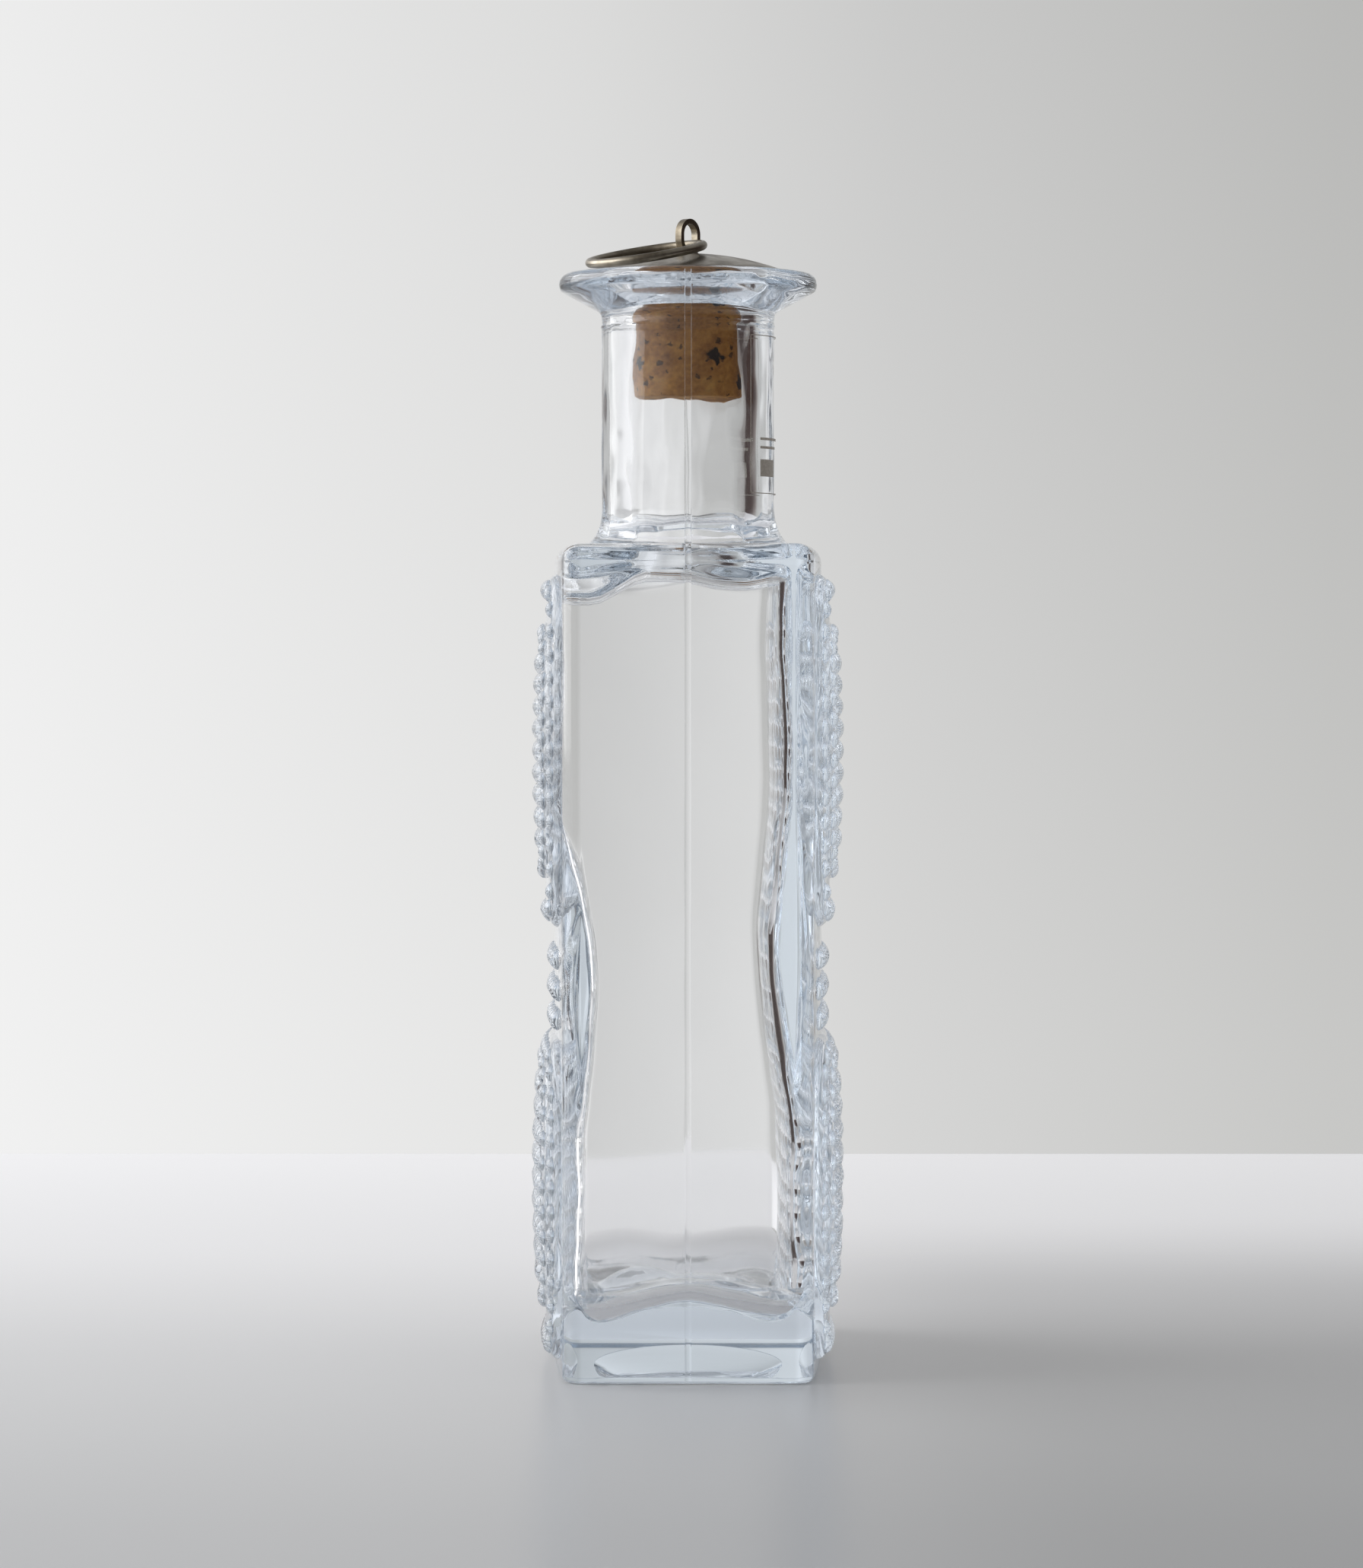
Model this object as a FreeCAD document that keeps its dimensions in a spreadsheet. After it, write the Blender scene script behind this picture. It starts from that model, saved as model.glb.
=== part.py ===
"""Clear glass decanter: a square-shouldered bottle with raised panels on its two wide faces, a thick
base and a flared lip, closed by a cork under a domed metal cap with a pull ring in an upright eye.

Millimetres, +Z up. The origin is the middle of the foot. The narrow plain faces look along -Y and +Y,
the wide ornamented ones along -X and +X.
"""
import FreeCAD, Part
import math
import os

import Sketcher

doc = FreeCAD.newDocument("decanter")

# ---------------------------------------------------------------------------------------------------
# Driving dimensions
# ---------------------------------------------------------------------------------------------------
SIZES = [
    # body of the bottle
    ("body_width", 56.2, "narrow face, corner to corner, along X"),
    ("body_depth", 110.0, "wide face, along Y"),
    ("body_height", 190.5, "foot to the flat of the shoulder"),
    ("face_bow", 3.2, "how far a wide face swells at mid depth"),
    ("corner_round", 4.0, "four upright corners"),
    ("shoulder_round", 3.8, "edge of the shoulder"),
    ("foot_round", 1.6, "edge of the foot"),
    ("foot_hollow", 2.4, "rise of the hollow under the foot"),
    ("foot_rim", 7.0, "flat rim round that hollow"),
    # neck and lip
    ("neck_radius", 20.3, "outside of the neck"),
    ("neck_length", 64.5, "shoulder to the top of the lip"),
    ("neck_flare", 6.0, "sweep from the neck into the shoulder"),
    ("lip_radius", 30.4, "flared lip"),
    ("lip_depth", 10.4, "height of the flare under the lip's top"),
    ("lip_edge", 2.6, "rounded edge of the lip"),
    ("lip_tuck", 3.0, "sweep from the neck into the lip"),
    ("bore_radius", 13.4, "way through the neck"),
    ("bore_flare", 2.2, "sweep from the bore into the shoulder"),
    # space inside
    ("floor_height", 14.4, "thickness of the base at its edge"),
    ("floor_swell", 4.6, "rise of the floor at its middle"),
    ("floor_round", 7.0, "floor into the wide walls"),
    ("shoulder_wall", 6.5, "glass over the space, under the shoulder"),
    ("ceiling_round", 7.0, "wide walls into the ceiling"),
    ("end_wall", 4.0, "glass behind each narrow face"),
    ("inner_round", 3.0, "wide walls into the narrow ones"),
    ("belly_wall", 2.8, "glass at the side of the space, from the floor to the lower swell"),
    ("waist_wall", 6.8, "the same at the waist"),
    ("chest_wall", 3.3, "the same from the upper swell to the ceiling"),
    ("belly_height", 58.0, "top of the lower swell"),
    ("waist_height", 93.0, "height of the waist"),
    ("chest_drop", 50.5, "start of the upper swell, under the shoulder"),
    ("belly_shift", 0.4, "the blown space stands a little off the middle below"),
    ("chest_shift", -1.9, "and leans the other way from the waist up"),
    # raised panels of the wide faces
    ("plinth_rise", 2.0, "low panel above the face"),
    ("plinth_margin", 7.0, "from each narrow face to the panel"),
    ("plinth_round", 14.0, "its corners"),
    ("medallion_rise", 3.9, "domed medallion above the face"),
    ("medallion_margin", 13.0, "from each narrow face to the medallion"),
    ("medallion_round", 24.0, "its corners"),
    ("medallion_crown", 400.0, "radius of its dome"),
    ("panel_soft", 1.6, "softened edges of the panels"),
    ("lower_plinth_foot", 3.0, "lower panel, from"),
    ("lower_plinth_top", 77.5, "to"),
    ("lower_medallion_foot", 12.0, "lower medallion, from"),
    ("lower_medallion_top", 75.0, "to"),
    ("upper_plinth_reach", 88.0, "upper panel, under the shoulder, from"),
    ("upper_plinth_drop", 6.5, "to"),
    ("upper_medallion_reach", 78.5, "upper medallion, under the shoulder, from"),
    ("upper_medallion_drop", 16.5, "to"),
    # pearls: a row round each medallion, and columns of larger ones across the waist
    ("pearl_ball", 2.2, "radius of the ball that a border pearl is part of"),
    ("pearl_rise", 1.25, "how far it stands up"),
    ("pearl_inset", 3.4, "from the medallion's edge to the row"),
    ("lower_pearl_pitch", 5.6, "spacing round the lower medallion"),
    ("upper_pearl_pitch", 4.7, "finer spacing round the upper one"),
    ("bead_ball", 2.6, "radius of the ball that a waist bead is part of"),
    ("bead_rise", 1.9, "how far it stands up"),
    ("bead_pitch", 6.9, "spacing of the beads, up and across"),
    ("bead_foot", 81.5, "height of the lowest row"),
    # cork
    ("cork_length", 29.6, "cap to the cork's foot"),
    ("cork_slack", 0.1, "radial slack at the top of the cork"),
    ("cork_taper", 0.6, "how much slimmer its foot is, on the radius"),
    ("cork_soft", 0.8, "softened lower edge"),
    # cap, eye and ring
    ("cap_radius", 23.2, "domed metal cap"),
    ("cap_edge", 0.45, "its edge"),
    ("cap_crown", 4.25, "rise of the dome"),
    ("collar_radius", 2.4, "little seat of the eye"),
    ("collar_rise", 0.5, "its height above the dome"),
    ("collar_soft", 0.45, "sweep from the seat into the dome"),
    ("eye_bore", 2.5, "half width of the hole in the eye"),
    ("eye_straight", 1.2, "straight length of its sides"),
    ("eye_strip", 1.15, "thickness of the strip it is bent from"),
    ("eye_width", 1.75, "width of that strip"),
    ("eye_foot", 0.4, "metal between its hole and the seat"),
    ("eye_turn", 52.0, "turn of the eye about Z, degrees"),
    ("wire_radius", 1.05, "wire of the pull ring"),
    ("ring_radius", 13.4, "centre line of the ring"),
    ("ring_turn", 42.0, "turn of the ring about Z, degrees"),
    ("ring_slack", 0.2, "gap between the wire and what it rests on"),
    ("seam_gap", 0.15, "butt joint of the bent wire"),
    ("seam_turn", 159.0, "where that joint is, degrees"),
]

sheet = doc.addObject("Spreadsheet::Sheet", "Sizes")
for row, (alias, number, meaning) in enumerate(SIZES, start=1):
    sheet.set(f"A{row}", meaning)
    sheet.set(f"B{row}", str(number))
    sheet.setAlias(f"B{row}", alias)
doc.recompute()


def size(text):
    """The number that an expression on the sheet comes to."""
    return float(sheet.evalExpression(text))


# ---------------------------------------------------------------------------------------------------
# Places that several pieces share, each worked out from the driving dimensions
# ---------------------------------------------------------------------------------------------------
LIP_TOP = "(Sizes.body_height + Sizes.neck_length)"
SEAT_TOP = f"({LIP_TOP} + Sizes.cap_edge + Sizes.cap_crown + Sizes.collar_rise)"
HOLE_FOOT = f"({SEAT_TOP} + Sizes.eye_foot)"
PIVOT = f"({HOLE_FOOT} + Sizes.ring_slack + Sizes.wire_radius)"
CEILING = "(Sizes.body_height - Sizes.shoulder_wall)"
HALF_WIDTH = "(Sizes.body_width / 2)"
HALF_DEPTH = "(Sizes.body_depth / 2)"
BOW_RADIUS = f"((Sizes.face_bow^2 + {HALF_DEPTH}^2) / (2 * Sizes.face_bow))"
FACE = f"({HALF_WIDTH} + Sizes.face_bow)"
NEARLY = 1e-3
CLOSE = 0.01
FILLET_ROOM = 0.2  # flat left beside a fillet that its wall limits
OVERRUN = 2.0  # how far a cutting or filling body runs past what it works on


# ---------------------------------------------------------------------------------------------------
# Helpers for sketches and features
# ---------------------------------------------------------------------------------------------------
def plane(body, role):
    """One of a body's own origin planes."""
    for feature in body.Origin.OriginFeatures:
        if feature.Role == role:
            return feature
    raise ValueError(role)


def sketch_on(body, name, role, lift=None):
    """A sketch on an origin plane, lifted off it where lift says."""
    sketch = body.newObject("Sketcher::SketchObject", name)
    sketch.AttachmentSupport = [(plane(body, role), "")]
    sketch.MapMode = "FlatFace"
    if lift:
        sketch.setExpression("AttachmentOffset.Base.z", lift)
    return sketch


def bulge_point(start, end, radius):
    """The middle of an arc from start to end. A positive radius bulges to the right of the way."""
    chord = end - start
    half = chord.Length / 2
    sagitta = abs(radius) - math.sqrt(max(radius * radius - half * half, 0.0))
    side = FreeCAD.Vector(chord.y, -chord.x, 0).normalize()
    return (start + end) * 0.5 + side * math.copysign(sagitta, radius)


def draw(sketch, corners, bends=None):
    """Draws a closed outline through corners, given as pairs of expressions.

    bends names the sides that are arcs, each by its first corner, with its radius as an expression
    and the side it bulges to: 1 is right of the way, -1 is left.
    """
    bends = bends or {}
    points = [FreeCAD.Vector(size(across), size(up), 0) for across, up in corners]
    starts = []
    ends = []
    for index, start in enumerate(points):
        end = points[(index + 1) % len(points)]
        if index in bends:
            radius, side = bends[index]
            middle = bulge_point(start, end, side * size(radius))
            geometry = sketch.addGeometry(Part.Arc(start, middle, end), False)
            first = 1 if (sketch.getPoint(geometry, 1) - start).Length < NEARLY else 2
        else:
            geometry = sketch.addGeometry(Part.LineSegment(start, end), False)
            first = 1
        starts.append((geometry, first))
        ends.append((geometry, 3 - first))
    for index, (geometry, point) in enumerate(starts):
        sketch.addConstraint(Sketcher.Constraint("Coincident", *ends[index - 1], geometry, point))
        across, up = corners[index]
        pin(sketch, "DistanceX", geometry, point, across, -2)
        pin(sketch, "DistanceY", geometry, point, up, -1)
        if index in bends:
            radius = bends[index][0]
            bound = sketch.addConstraint(Sketcher.Constraint("Radius", geometry, size(radius)))
            sketch.setExpression(f"Constraints[{bound}]", radius)


def pin(sketch, kind, geometry, point, expression, axis):
    """Ties one coordinate of a point to an expression, or lays the point on an axis."""
    if expression == "0":
        sketch.addConstraint(Sketcher.Constraint("PointOnObject", geometry, point, axis))
        return
    distance = Sketcher.Constraint(kind, -1, 1, geometry, point, size(expression))
    bound = sketch.addConstraint(distance)
    sketch.setExpression(f"Constraints[{bound}]", expression)


def draw_rounded(sketch, half_across, low, high, radius):
    """A rectangle with round corners, from low to high in the sketch's second direction."""
    left = f"-{half_across}"
    right = half_across
    corners = [
        (f"{left} + {radius}", low),
        (f"{right} - {radius}", low),
        (right, f"{low} + {radius}"),
        (right, f"{high} - {radius}"),
        (f"{right} - {radius}", high),
        (f"{left} + {radius}", high),
        (left, f"{high} - {radius}"),
        (left, f"{low} + {radius}"),
    ]
    draw(sketch, corners, {side: (radius, 1) for side in (1, 3, 5, 7)})


def pad(body, name, sketch, length, both_ways=False):
    feature = body.newObject("PartDesign::Pad", name)
    feature.Profile = sketch
    feature.setExpression("Length", length)
    feature.Midplane = both_ways
    doc.recompute()
    return feature


def revolve(body, name, sketch):
    feature = body.newObject("PartDesign::Revolution", name)
    feature.Profile = sketch
    feature.ReferenceAxis = (sketch, ["V_Axis"])
    feature.Angle = 360
    doc.recompute()
    return feature


def fillet(body, name, base, radius, wanted):
    """Rounds the edges of base for which wanted is true."""
    edges = [f"Edge{n}" for n, edge in enumerate(base.Shape.Edges, start=1) if wanted(edge)]
    if not edges:
        raise ValueError(f"{name} finds no edge")
    feature = body.newObject("PartDesign::Fillet", name)
    feature.Base = (base, edges)
    feature.setExpression("Radius", radius)
    doc.recompute()
    return feature


def level(edge, height):
    """True for an edge that lies flat at this height."""
    box = edge.BoundBox
    return abs(box.ZMin - height) < NEARLY and abs(box.ZMax - height) < NEARLY


def round_edge(edge, radius, height):
    """True for a full circle about Z of this radius at this height."""
    box = edge.BoundBox
    return level(edge, height) and abs(box.XMax - radius) < CLOSE and abs(box.YMax - radius) < CLOSE


def body_named(label):
    body = doc.addObject("PartDesign::Body", label)
    body.Label = label
    return body


# ---------------------------------------------------------------------------------------------------
# Bottle, outside: a block with bowed wide faces, the neck and the flared lip
# ---------------------------------------------------------------------------------------------------
outside = body_named("bottle_outside")
block_plan = sketch_on(outside, "BlockPlan", "XY_Plane")
draw(
    block_plan,
    [
        (HALF_WIDTH, f"-{HALF_DEPTH}"),
        (HALF_WIDTH, HALF_DEPTH),
        (f"-{HALF_WIDTH}", HALF_DEPTH),
        (f"-{HALF_WIDTH}", f"-{HALF_DEPTH}"),
    ],
    {0: (BOW_RADIUS, 1), 2: (BOW_RADIUS, 1)},
)
block = pad(outside, "Block", block_plan, "Sizes.body_height")
corners = fillet(
    outside,
    "Corners",
    block,
    "Sizes.corner_round",
    lambda edge: edge.BoundBox.ZLength > size("Sizes.body_height") - NEARLY,
)

block_edges = fillet(
    outside,
    "ShoulderEdge",
    corners,
    "Sizes.shoulder_round",
    lambda edge: level(edge, size("Sizes.body_height")),
)
foot_edges = fillet(outside, "FootEdge", block_edges, "Sizes.foot_round", lambda edge: level(edge, 0))

NECK_ROOT = "Sizes.body_height - Sizes.shoulder_round"
LIP_ROOT = f"{LIP_TOP} - Sizes.lip_depth"
neck_side = sketch_on(outside, "NeckSide", "XZ_Plane")
draw(
    neck_side,
    [
        ("0", NECK_ROOT),
        ("Sizes.neck_radius", NECK_ROOT),
        ("Sizes.neck_radius", LIP_ROOT),
        ("Sizes.lip_radius", f"{LIP_TOP} - Sizes.lip_edge"),
        ("Sizes.lip_radius - Sizes.lip_edge", LIP_TOP),
        ("0", LIP_TOP),
    ],
    {3: ("Sizes.lip_edge", 1)},
)
neck = revolve(outside, "Neck", neck_side)
SHOULDER_FLAT = f"({FACE} - Sizes.shoulder_round - Sizes.neck_radius)"
neck_sweep = fillet(
    outside,
    "NeckSweep",
    neck,
    f"min(Sizes.neck_flare; {SHOULDER_FLAT} - {FILLET_ROOM})",
    lambda edge: round_edge(edge, size("Sizes.neck_radius"), size("Sizes.body_height")),
)
lip_sweep = fillet(
    outside,
    "LipSweep",
    neck_sweep,
    "Sizes.lip_tuck",
    lambda edge: round_edge(edge, size("Sizes.neck_radius"), size(LIP_ROOT)),
)
fillet(
    outside,
    "LipUnder",
    lip_sweep,
    "Sizes.lip_edge / 2",
    lambda edge: round_edge(edge, size("Sizes.lip_radius"), size(f"{LIP_TOP} - Sizes.lip_edge")),
)


# ---------------------------------------------------------------------------------------------------
# Raised panels of the wide faces: each solid runs through the bottle and shows on both faces
# ---------------------------------------------------------------------------------------------------
PANELS = {
    "lower_plinth": ("Sizes.lower_plinth_foot", "Sizes.lower_plinth_top"),
    "lower_medallion": ("Sizes.lower_medallion_foot", "Sizes.lower_medallion_top"),
    "upper_plinth": (
        "(Sizes.body_height - Sizes.upper_plinth_reach)",
        "(Sizes.body_height - Sizes.upper_plinth_drop)",
    ),
    "upper_medallion": (
        "(Sizes.body_height - Sizes.upper_medallion_reach)",
        "(Sizes.body_height - Sizes.upper_medallion_drop)",
    ),
}


def swell(kind, label, side, rise):
    """A large cylinder or ball whose near side is the outer face of a panel."""
    body = doc.addObject(f"Part::{kind}", label)
    curve = f"({BOW_RADIUS} + {rise})" if kind == "Cylinder" else "Sizes.medallion_crown"
    body.setExpression("Radius", curve)
    seam_away = 180 if side > 0 else 0
    body.Placement = FreeCAD.Placement(FreeCAD.Vector(), FreeCAD.Rotation(FreeCAD.Vector(0, 0, 1), seam_away))
    body.setExpression("Placement.Base.x", f"{side} * ({FACE} + {rise} - {curve})")
    return body


def panel(label, kind):
    """A prism along X with a rounded outline, cut to a swelling face on each side."""
    low, high = PANELS[label]
    shape = label.split("_")[1]
    rise = f"Sizes.{shape}_rise"
    prism = body_named(f"{label}_prism")
    outline = sketch_on(prism, f"{label}_outline", "YZ_Plane")
    draw_rounded(outline, f"({HALF_DEPTH} - Sizes.{shape}_margin)", low, high, f"Sizes.{shape}_round")
    pad(prism, f"{label}_pad", outline, f"3 * {FACE}", both_ways=True)
    swells = [swell(kind, f"{label}_right", 1, rise), swell(kind, f"{label}_left", -1, rise)]
    for body in swells:
        if kind == "Cylinder":
            body.setExpression("Height", f"{high} + {OVERRUN}")
        else:
            body.setExpression("Placement.Base.z", f"({low} + {high}) / 2")
    lens = doc.addObject("Part::MultiCommon", f"{label}_lens")
    lens.Shapes = [prism, *swells]
    doc.recompute()
    soft = doc.addObject("Part::Fillet", label)
    soft.Base = lens
    radius = size("Sizes.panel_soft")
    rims = [n for n, edge in enumerate(lens.Shape.Edges, start=1) if outer_rim(edge)]
    soft.Edges = [(n, radius, radius) for n in rims]
    doc.recompute()
    return soft


def outer_rim(edge):
    """True for an edge of a panel's outer face, and false for one that runs through the bottle."""
    return edge.BoundBox.XLength < size(FACE)


panels = [
    panel("lower_plinth", "Cylinder"),
    panel("lower_medallion", "Sphere"),
    panel("upper_plinth", "Cylinder"),
    panel("upper_medallion", "Sphere"),
]


# ---------------------------------------------------------------------------------------------------
# Pearls: balls sunk into the domed medallions, evenly along their edge, and into the bowed waist
# ---------------------------------------------------------------------------------------------------
def both_sides(points, radius):
    """Balls at these points and at their mirror images in the YZ plane."""
    return [Part.makeSphere(radius, FreeCAD.Vector(side * x, y, z)) for x, y, z in points for side in (1, -1)]


def pearl_row(label, pitch):
    """The pearls along the edge of one medallion."""
    outline = doc.getObject(f"{label}_outline").Shape.Wires[0]
    path = outline.makeOffset2D(-size("Sizes.pearl_inset"))
    count = round(path.Length / size(pitch))
    low, high = (size(end) for end in PANELS[label])
    crown = size("Sizes.medallion_crown")
    middle = size(f"{FACE} + Sizes.medallion_rise") - crown
    points = []
    for spot in path.discretize(Number=count + 1)[:-1]:
        surface = middle + math.sqrt(crown**2 - spot.y**2 - (spot.z - (low + high) / 2) ** 2)
        points.append((surface + size("Sizes.pearl_rise - Sizes.pearl_ball"), spot.y, spot.z))
    return both_sides(points, size("Sizes.pearl_ball"))


def waist_beads():
    """The rows of beads on the bare band between the lower and the upper panels."""
    pitch = size("Sizes.bead_pitch")
    foot = size("Sizes.bead_foot")
    bow = size(BOW_RADIUS)
    half_row = size(f"{HALF_DEPTH} - Sizes.medallion_margin - Sizes.bead_ball")
    rows = int((size(PANELS["upper_plinth"][0]) - size("Sizes.bead_ball") - foot) / pitch) + 1
    points = []
    for row in range(rows):
        shift = pitch / 2 if row % 2 else 0.0
        columns = int((half_row - shift) / pitch)
        steps = [shift + pitch * n for n in range(-columns - (1 if shift else 0), columns + 1)]
        for along in steps:
            surface = size(FACE) - bow + math.sqrt(bow**2 - along**2)
            points.append((surface + size("Sizes.bead_rise - Sizes.bead_ball"), along, foot + pitch * row))
    return both_sides(points, size("Sizes.bead_ball"))


pearls = doc.addObject("Part::Feature", "pearls")
pearls.Shape = Part.makeCompound(
    pearl_row("lower_medallion", "Sizes.lower_pearl_pitch")
    + pearl_row("upper_medallion", "Sizes.upper_pearl_pitch")
    + waist_beads()
)


# ---------------------------------------------------------------------------------------------------
# The space inside: a blown form with a waist, a swelling floor, and the bore of the neck
# ---------------------------------------------------------------------------------------------------
space = body_named("bottle_space")
INNER_DEPTH = f"({HALF_DEPTH} - Sizes.end_wall)"
CHEST_HEIGHT = "(Sizes.body_height - Sizes.chest_drop)"
CHEST_NEAR = f"({HALF_WIDTH} - Sizes.chest_wall - abs(Sizes.chest_shift))"
CEILING_ROUND = (
    f"min(Sizes.ceiling_round; {CHEST_NEAR} - Sizes.bore_radius - Sizes.bore_flare - {FILLET_ROOM})"
)


def sway(low_x, low_z, high_x, high_z):
    """Radius of the two equal arcs that lead from one upright line to another."""
    return f"((({high_z}) - ({low_z}))^2 + (({high_x}) - ({low_x}))^2) / (4 * abs(({high_x}) - ({low_x})))"


def wall(side):
    """One side wall of the space, from the floor up: its corners, and its arcs by their first corner."""
    belly = f"Sizes.belly_shift {side} ({HALF_WIDTH} - Sizes.belly_wall)"
    waist = f"Sizes.chest_shift {side} ({HALF_WIDTH} - Sizes.waist_wall)"
    chest = f"Sizes.chest_shift {side} ({HALF_WIDTH} - Sizes.chest_wall)"
    inwards = "-" if side == "+" else "+"
    corners = [
        (f"{belly} {inwards} Sizes.floor_round", "Sizes.floor_height"),
        (belly, "Sizes.floor_height + Sizes.floor_round"),
        (belly, "Sizes.belly_height"),
        (f"({belly} + {waist}) / 2", "(Sizes.belly_height + Sizes.waist_height) / 2"),
        (waist, "Sizes.waist_height"),
        (f"({waist} + {chest}) / 2", f"(Sizes.waist_height + {CHEST_HEIGHT}) / 2"),
        (chest, CHEST_HEIGHT),
        (chest, f"{CEILING} - {CEILING_ROUND}"),
        (f"{chest} {inwards} {CEILING_ROUND}", CEILING),
    ]
    below = sway(belly, "Sizes.belly_height", waist, "Sizes.waist_height")
    above = sway(waist, "Sizes.waist_height", chest, CHEST_HEIGHT)
    arcs = [
        (0, "Sizes.floor_round", 1),
        (2, below, 1),
        (3, below, -1),
        (4, above, -1),
        (5, above, 1),
        (7, CEILING_ROUND, 1),
    ]
    return corners, arcs


right_corners, right_arcs = wall("+")
left_corners, left_arcs = wall("-")
blown_side = sketch_on(space, "BlownSide", "XZ_Plane")
last = 2 * len(right_corners) - 2
draw(
    blown_side,
    right_corners + left_corners[::-1],
    {first: (radius, bulge) for first, radius, bulge in right_arcs}
    | {last - first: (radius, bulge) for first, radius, bulge in left_arcs},
)
blown = pad(space, "Blown", blown_side, f"2 * {INNER_DEPTH}", both_ways=True)
fillet(
    space,
    "InnerRound",
    blown,
    "Sizes.inner_round",
    lambda edge: abs(abs(edge.BoundBox.Center.y) - size(INNER_DEPTH)) < NEARLY,
)
bore = space.newObject("PartDesign::AdditiveCylinder", "Bore")
bore.setExpression("Radius", "Sizes.bore_radius")
bore.setExpression("Height", f"{LIP_TOP} - {CEILING} + {2 * OVERRUN}")
bore.setExpression("Placement.Base.z", f"{CEILING} - {OVERRUN}")
doc.recompute()
fillet(
    space,
    "BoreSweep",
    bore,
    "Sizes.bore_flare",
    lambda edge: round_edge(edge, size("Sizes.bore_radius"), size(CEILING)),
)


def hollow(body, name, height, half_across, half_along, rise, middle="0"):
    """Takes a shallow oval dome out of a body."""
    dome = body.newObject("PartDesign::SubtractiveEllipsoid", name)
    dome.setExpression("Radius1", rise)
    dome.setExpression("Radius2", half_across)
    dome.setExpression("Radius3", half_along)
    dome.setExpression("Placement.Base.x", middle)
    dome.setExpression("Placement.Base.z", height)
    doc.recompute()
    return dome


hollow(
    space,
    "FloorSwell",
    "Sizes.floor_height",
    f"{HALF_WIDTH} - Sizes.belly_wall - Sizes.floor_round",
    f"{INNER_DEPTH} - Sizes.floor_round",
    "Sizes.floor_swell",
    "Sizes.belly_shift",
)
hollow(
    outside,
    "FootHollow",
    "0",
    f"{HALF_WIDTH} - Sizes.foot_rim",
    f"{HALF_DEPTH} - Sizes.foot_rim",
    "Sizes.foot_hollow",
)

glass = doc.addObject("Part::MultiFuse", "glass")
glass.Shapes = [outside, *panels, pearls]
glass.Refine = True
bottle = doc.addObject("Part::Cut", "bottle")
bottle.Base = glass
bottle.Tool = space
doc.recompute()


# ---------------------------------------------------------------------------------------------------
# Cork: a slightly tapered plug that hangs from the cap and fills the top of the bore
# ---------------------------------------------------------------------------------------------------
CORK_TOP = "Sizes.bore_radius - Sizes.cork_slack"
CORK_FOOT = f"{LIP_TOP} - Sizes.cork_length"
cork = body_named("cork")
cork_side = sketch_on(cork, "CorkSide", "XZ_Plane")
draw(
    cork_side,
    [
        ("0", CORK_FOOT),
        (f"{CORK_TOP} - Sizes.cork_taper", CORK_FOOT),
        (CORK_TOP, LIP_TOP),
        ("0", LIP_TOP),
    ],
)
plug = revolve(cork, "Plug", cork_side)
fillet(cork, "CorkSoft", plug, "Sizes.cork_soft", lambda edge: level(edge, size(CORK_FOOT)))


# ---------------------------------------------------------------------------------------------------
# Cap: a shallow metal dome lying on the lip, with a little seat for the eye
# ---------------------------------------------------------------------------------------------------
DOME_FOOT = f"({LIP_TOP} + Sizes.cap_edge)"
DOME_RADIUS = "((Sizes.cap_radius^2 + Sizes.cap_crown^2) / (2 * Sizes.cap_crown))"
cap = body_named("cap")
cap_side = sketch_on(cap, "CapSide", "XZ_Plane")
draw(
    cap_side,
    [
        ("0", LIP_TOP),
        ("Sizes.cap_radius", LIP_TOP),
        ("Sizes.cap_radius", DOME_FOOT),
        ("0", f"{DOME_FOOT} + Sizes.cap_crown"),
    ],
    {2: (DOME_RADIUS, 1)},
)
dome = revolve(cap, "Dome", cap_side)
seat = cap.newObject("PartDesign::AdditiveCylinder", "Seat")
seat.setExpression("Radius", "Sizes.collar_radius")
seat.setExpression("Height", "Sizes.cap_crown / 2 + Sizes.collar_rise")
seat.setExpression("Placement.Base.z", f"{SEAT_TOP} - Sizes.cap_crown / 2 - Sizes.collar_rise")
doc.recompute()


def seat_foot(edge):
    """True for the circle in which the seat meets the dome."""
    box = edge.BoundBox
    flat = box.ZLength < NEARLY
    high = size(DOME_FOOT) < box.ZMin < size(SEAT_TOP) - NEARLY
    return flat and high and abs(box.XMax - size("Sizes.collar_radius")) < CLOSE


fillet(cap, "SeatSweep", seat, "Sizes.collar_soft", seat_foot)


# ---------------------------------------------------------------------------------------------------
# Eye: a strip bent to an upright oval, standing on the seat
# ---------------------------------------------------------------------------------------------------
EYE_OUT = "(Sizes.eye_bore + Sizes.eye_strip)"
EYE_LOW = f"({HOLE_FOOT} + Sizes.eye_bore)"
EYE_HIGH = f"({EYE_LOW} + Sizes.eye_straight)"
EYE_CHORD = f"sqrt({EYE_OUT}^2 - ({EYE_LOW} - {SEAT_TOP})^2)"
eye = body_named("eye")
eye_face = sketch_on(eye, "EyeFace", "XZ_Plane")
draw(
    eye_face,
    [
        (f"-{EYE_CHORD}", SEAT_TOP),
        (EYE_CHORD, SEAT_TOP),
        (EYE_OUT, EYE_LOW),
        (EYE_OUT, EYE_HIGH),
        ("0", f"{EYE_HIGH} + {EYE_OUT}"),
        (f"-{EYE_OUT}", EYE_HIGH),
        (f"-{EYE_OUT}", EYE_LOW),
    ],
    {side: (EYE_OUT, 1) for side in (1, 3, 4, 6)},
)
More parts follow.
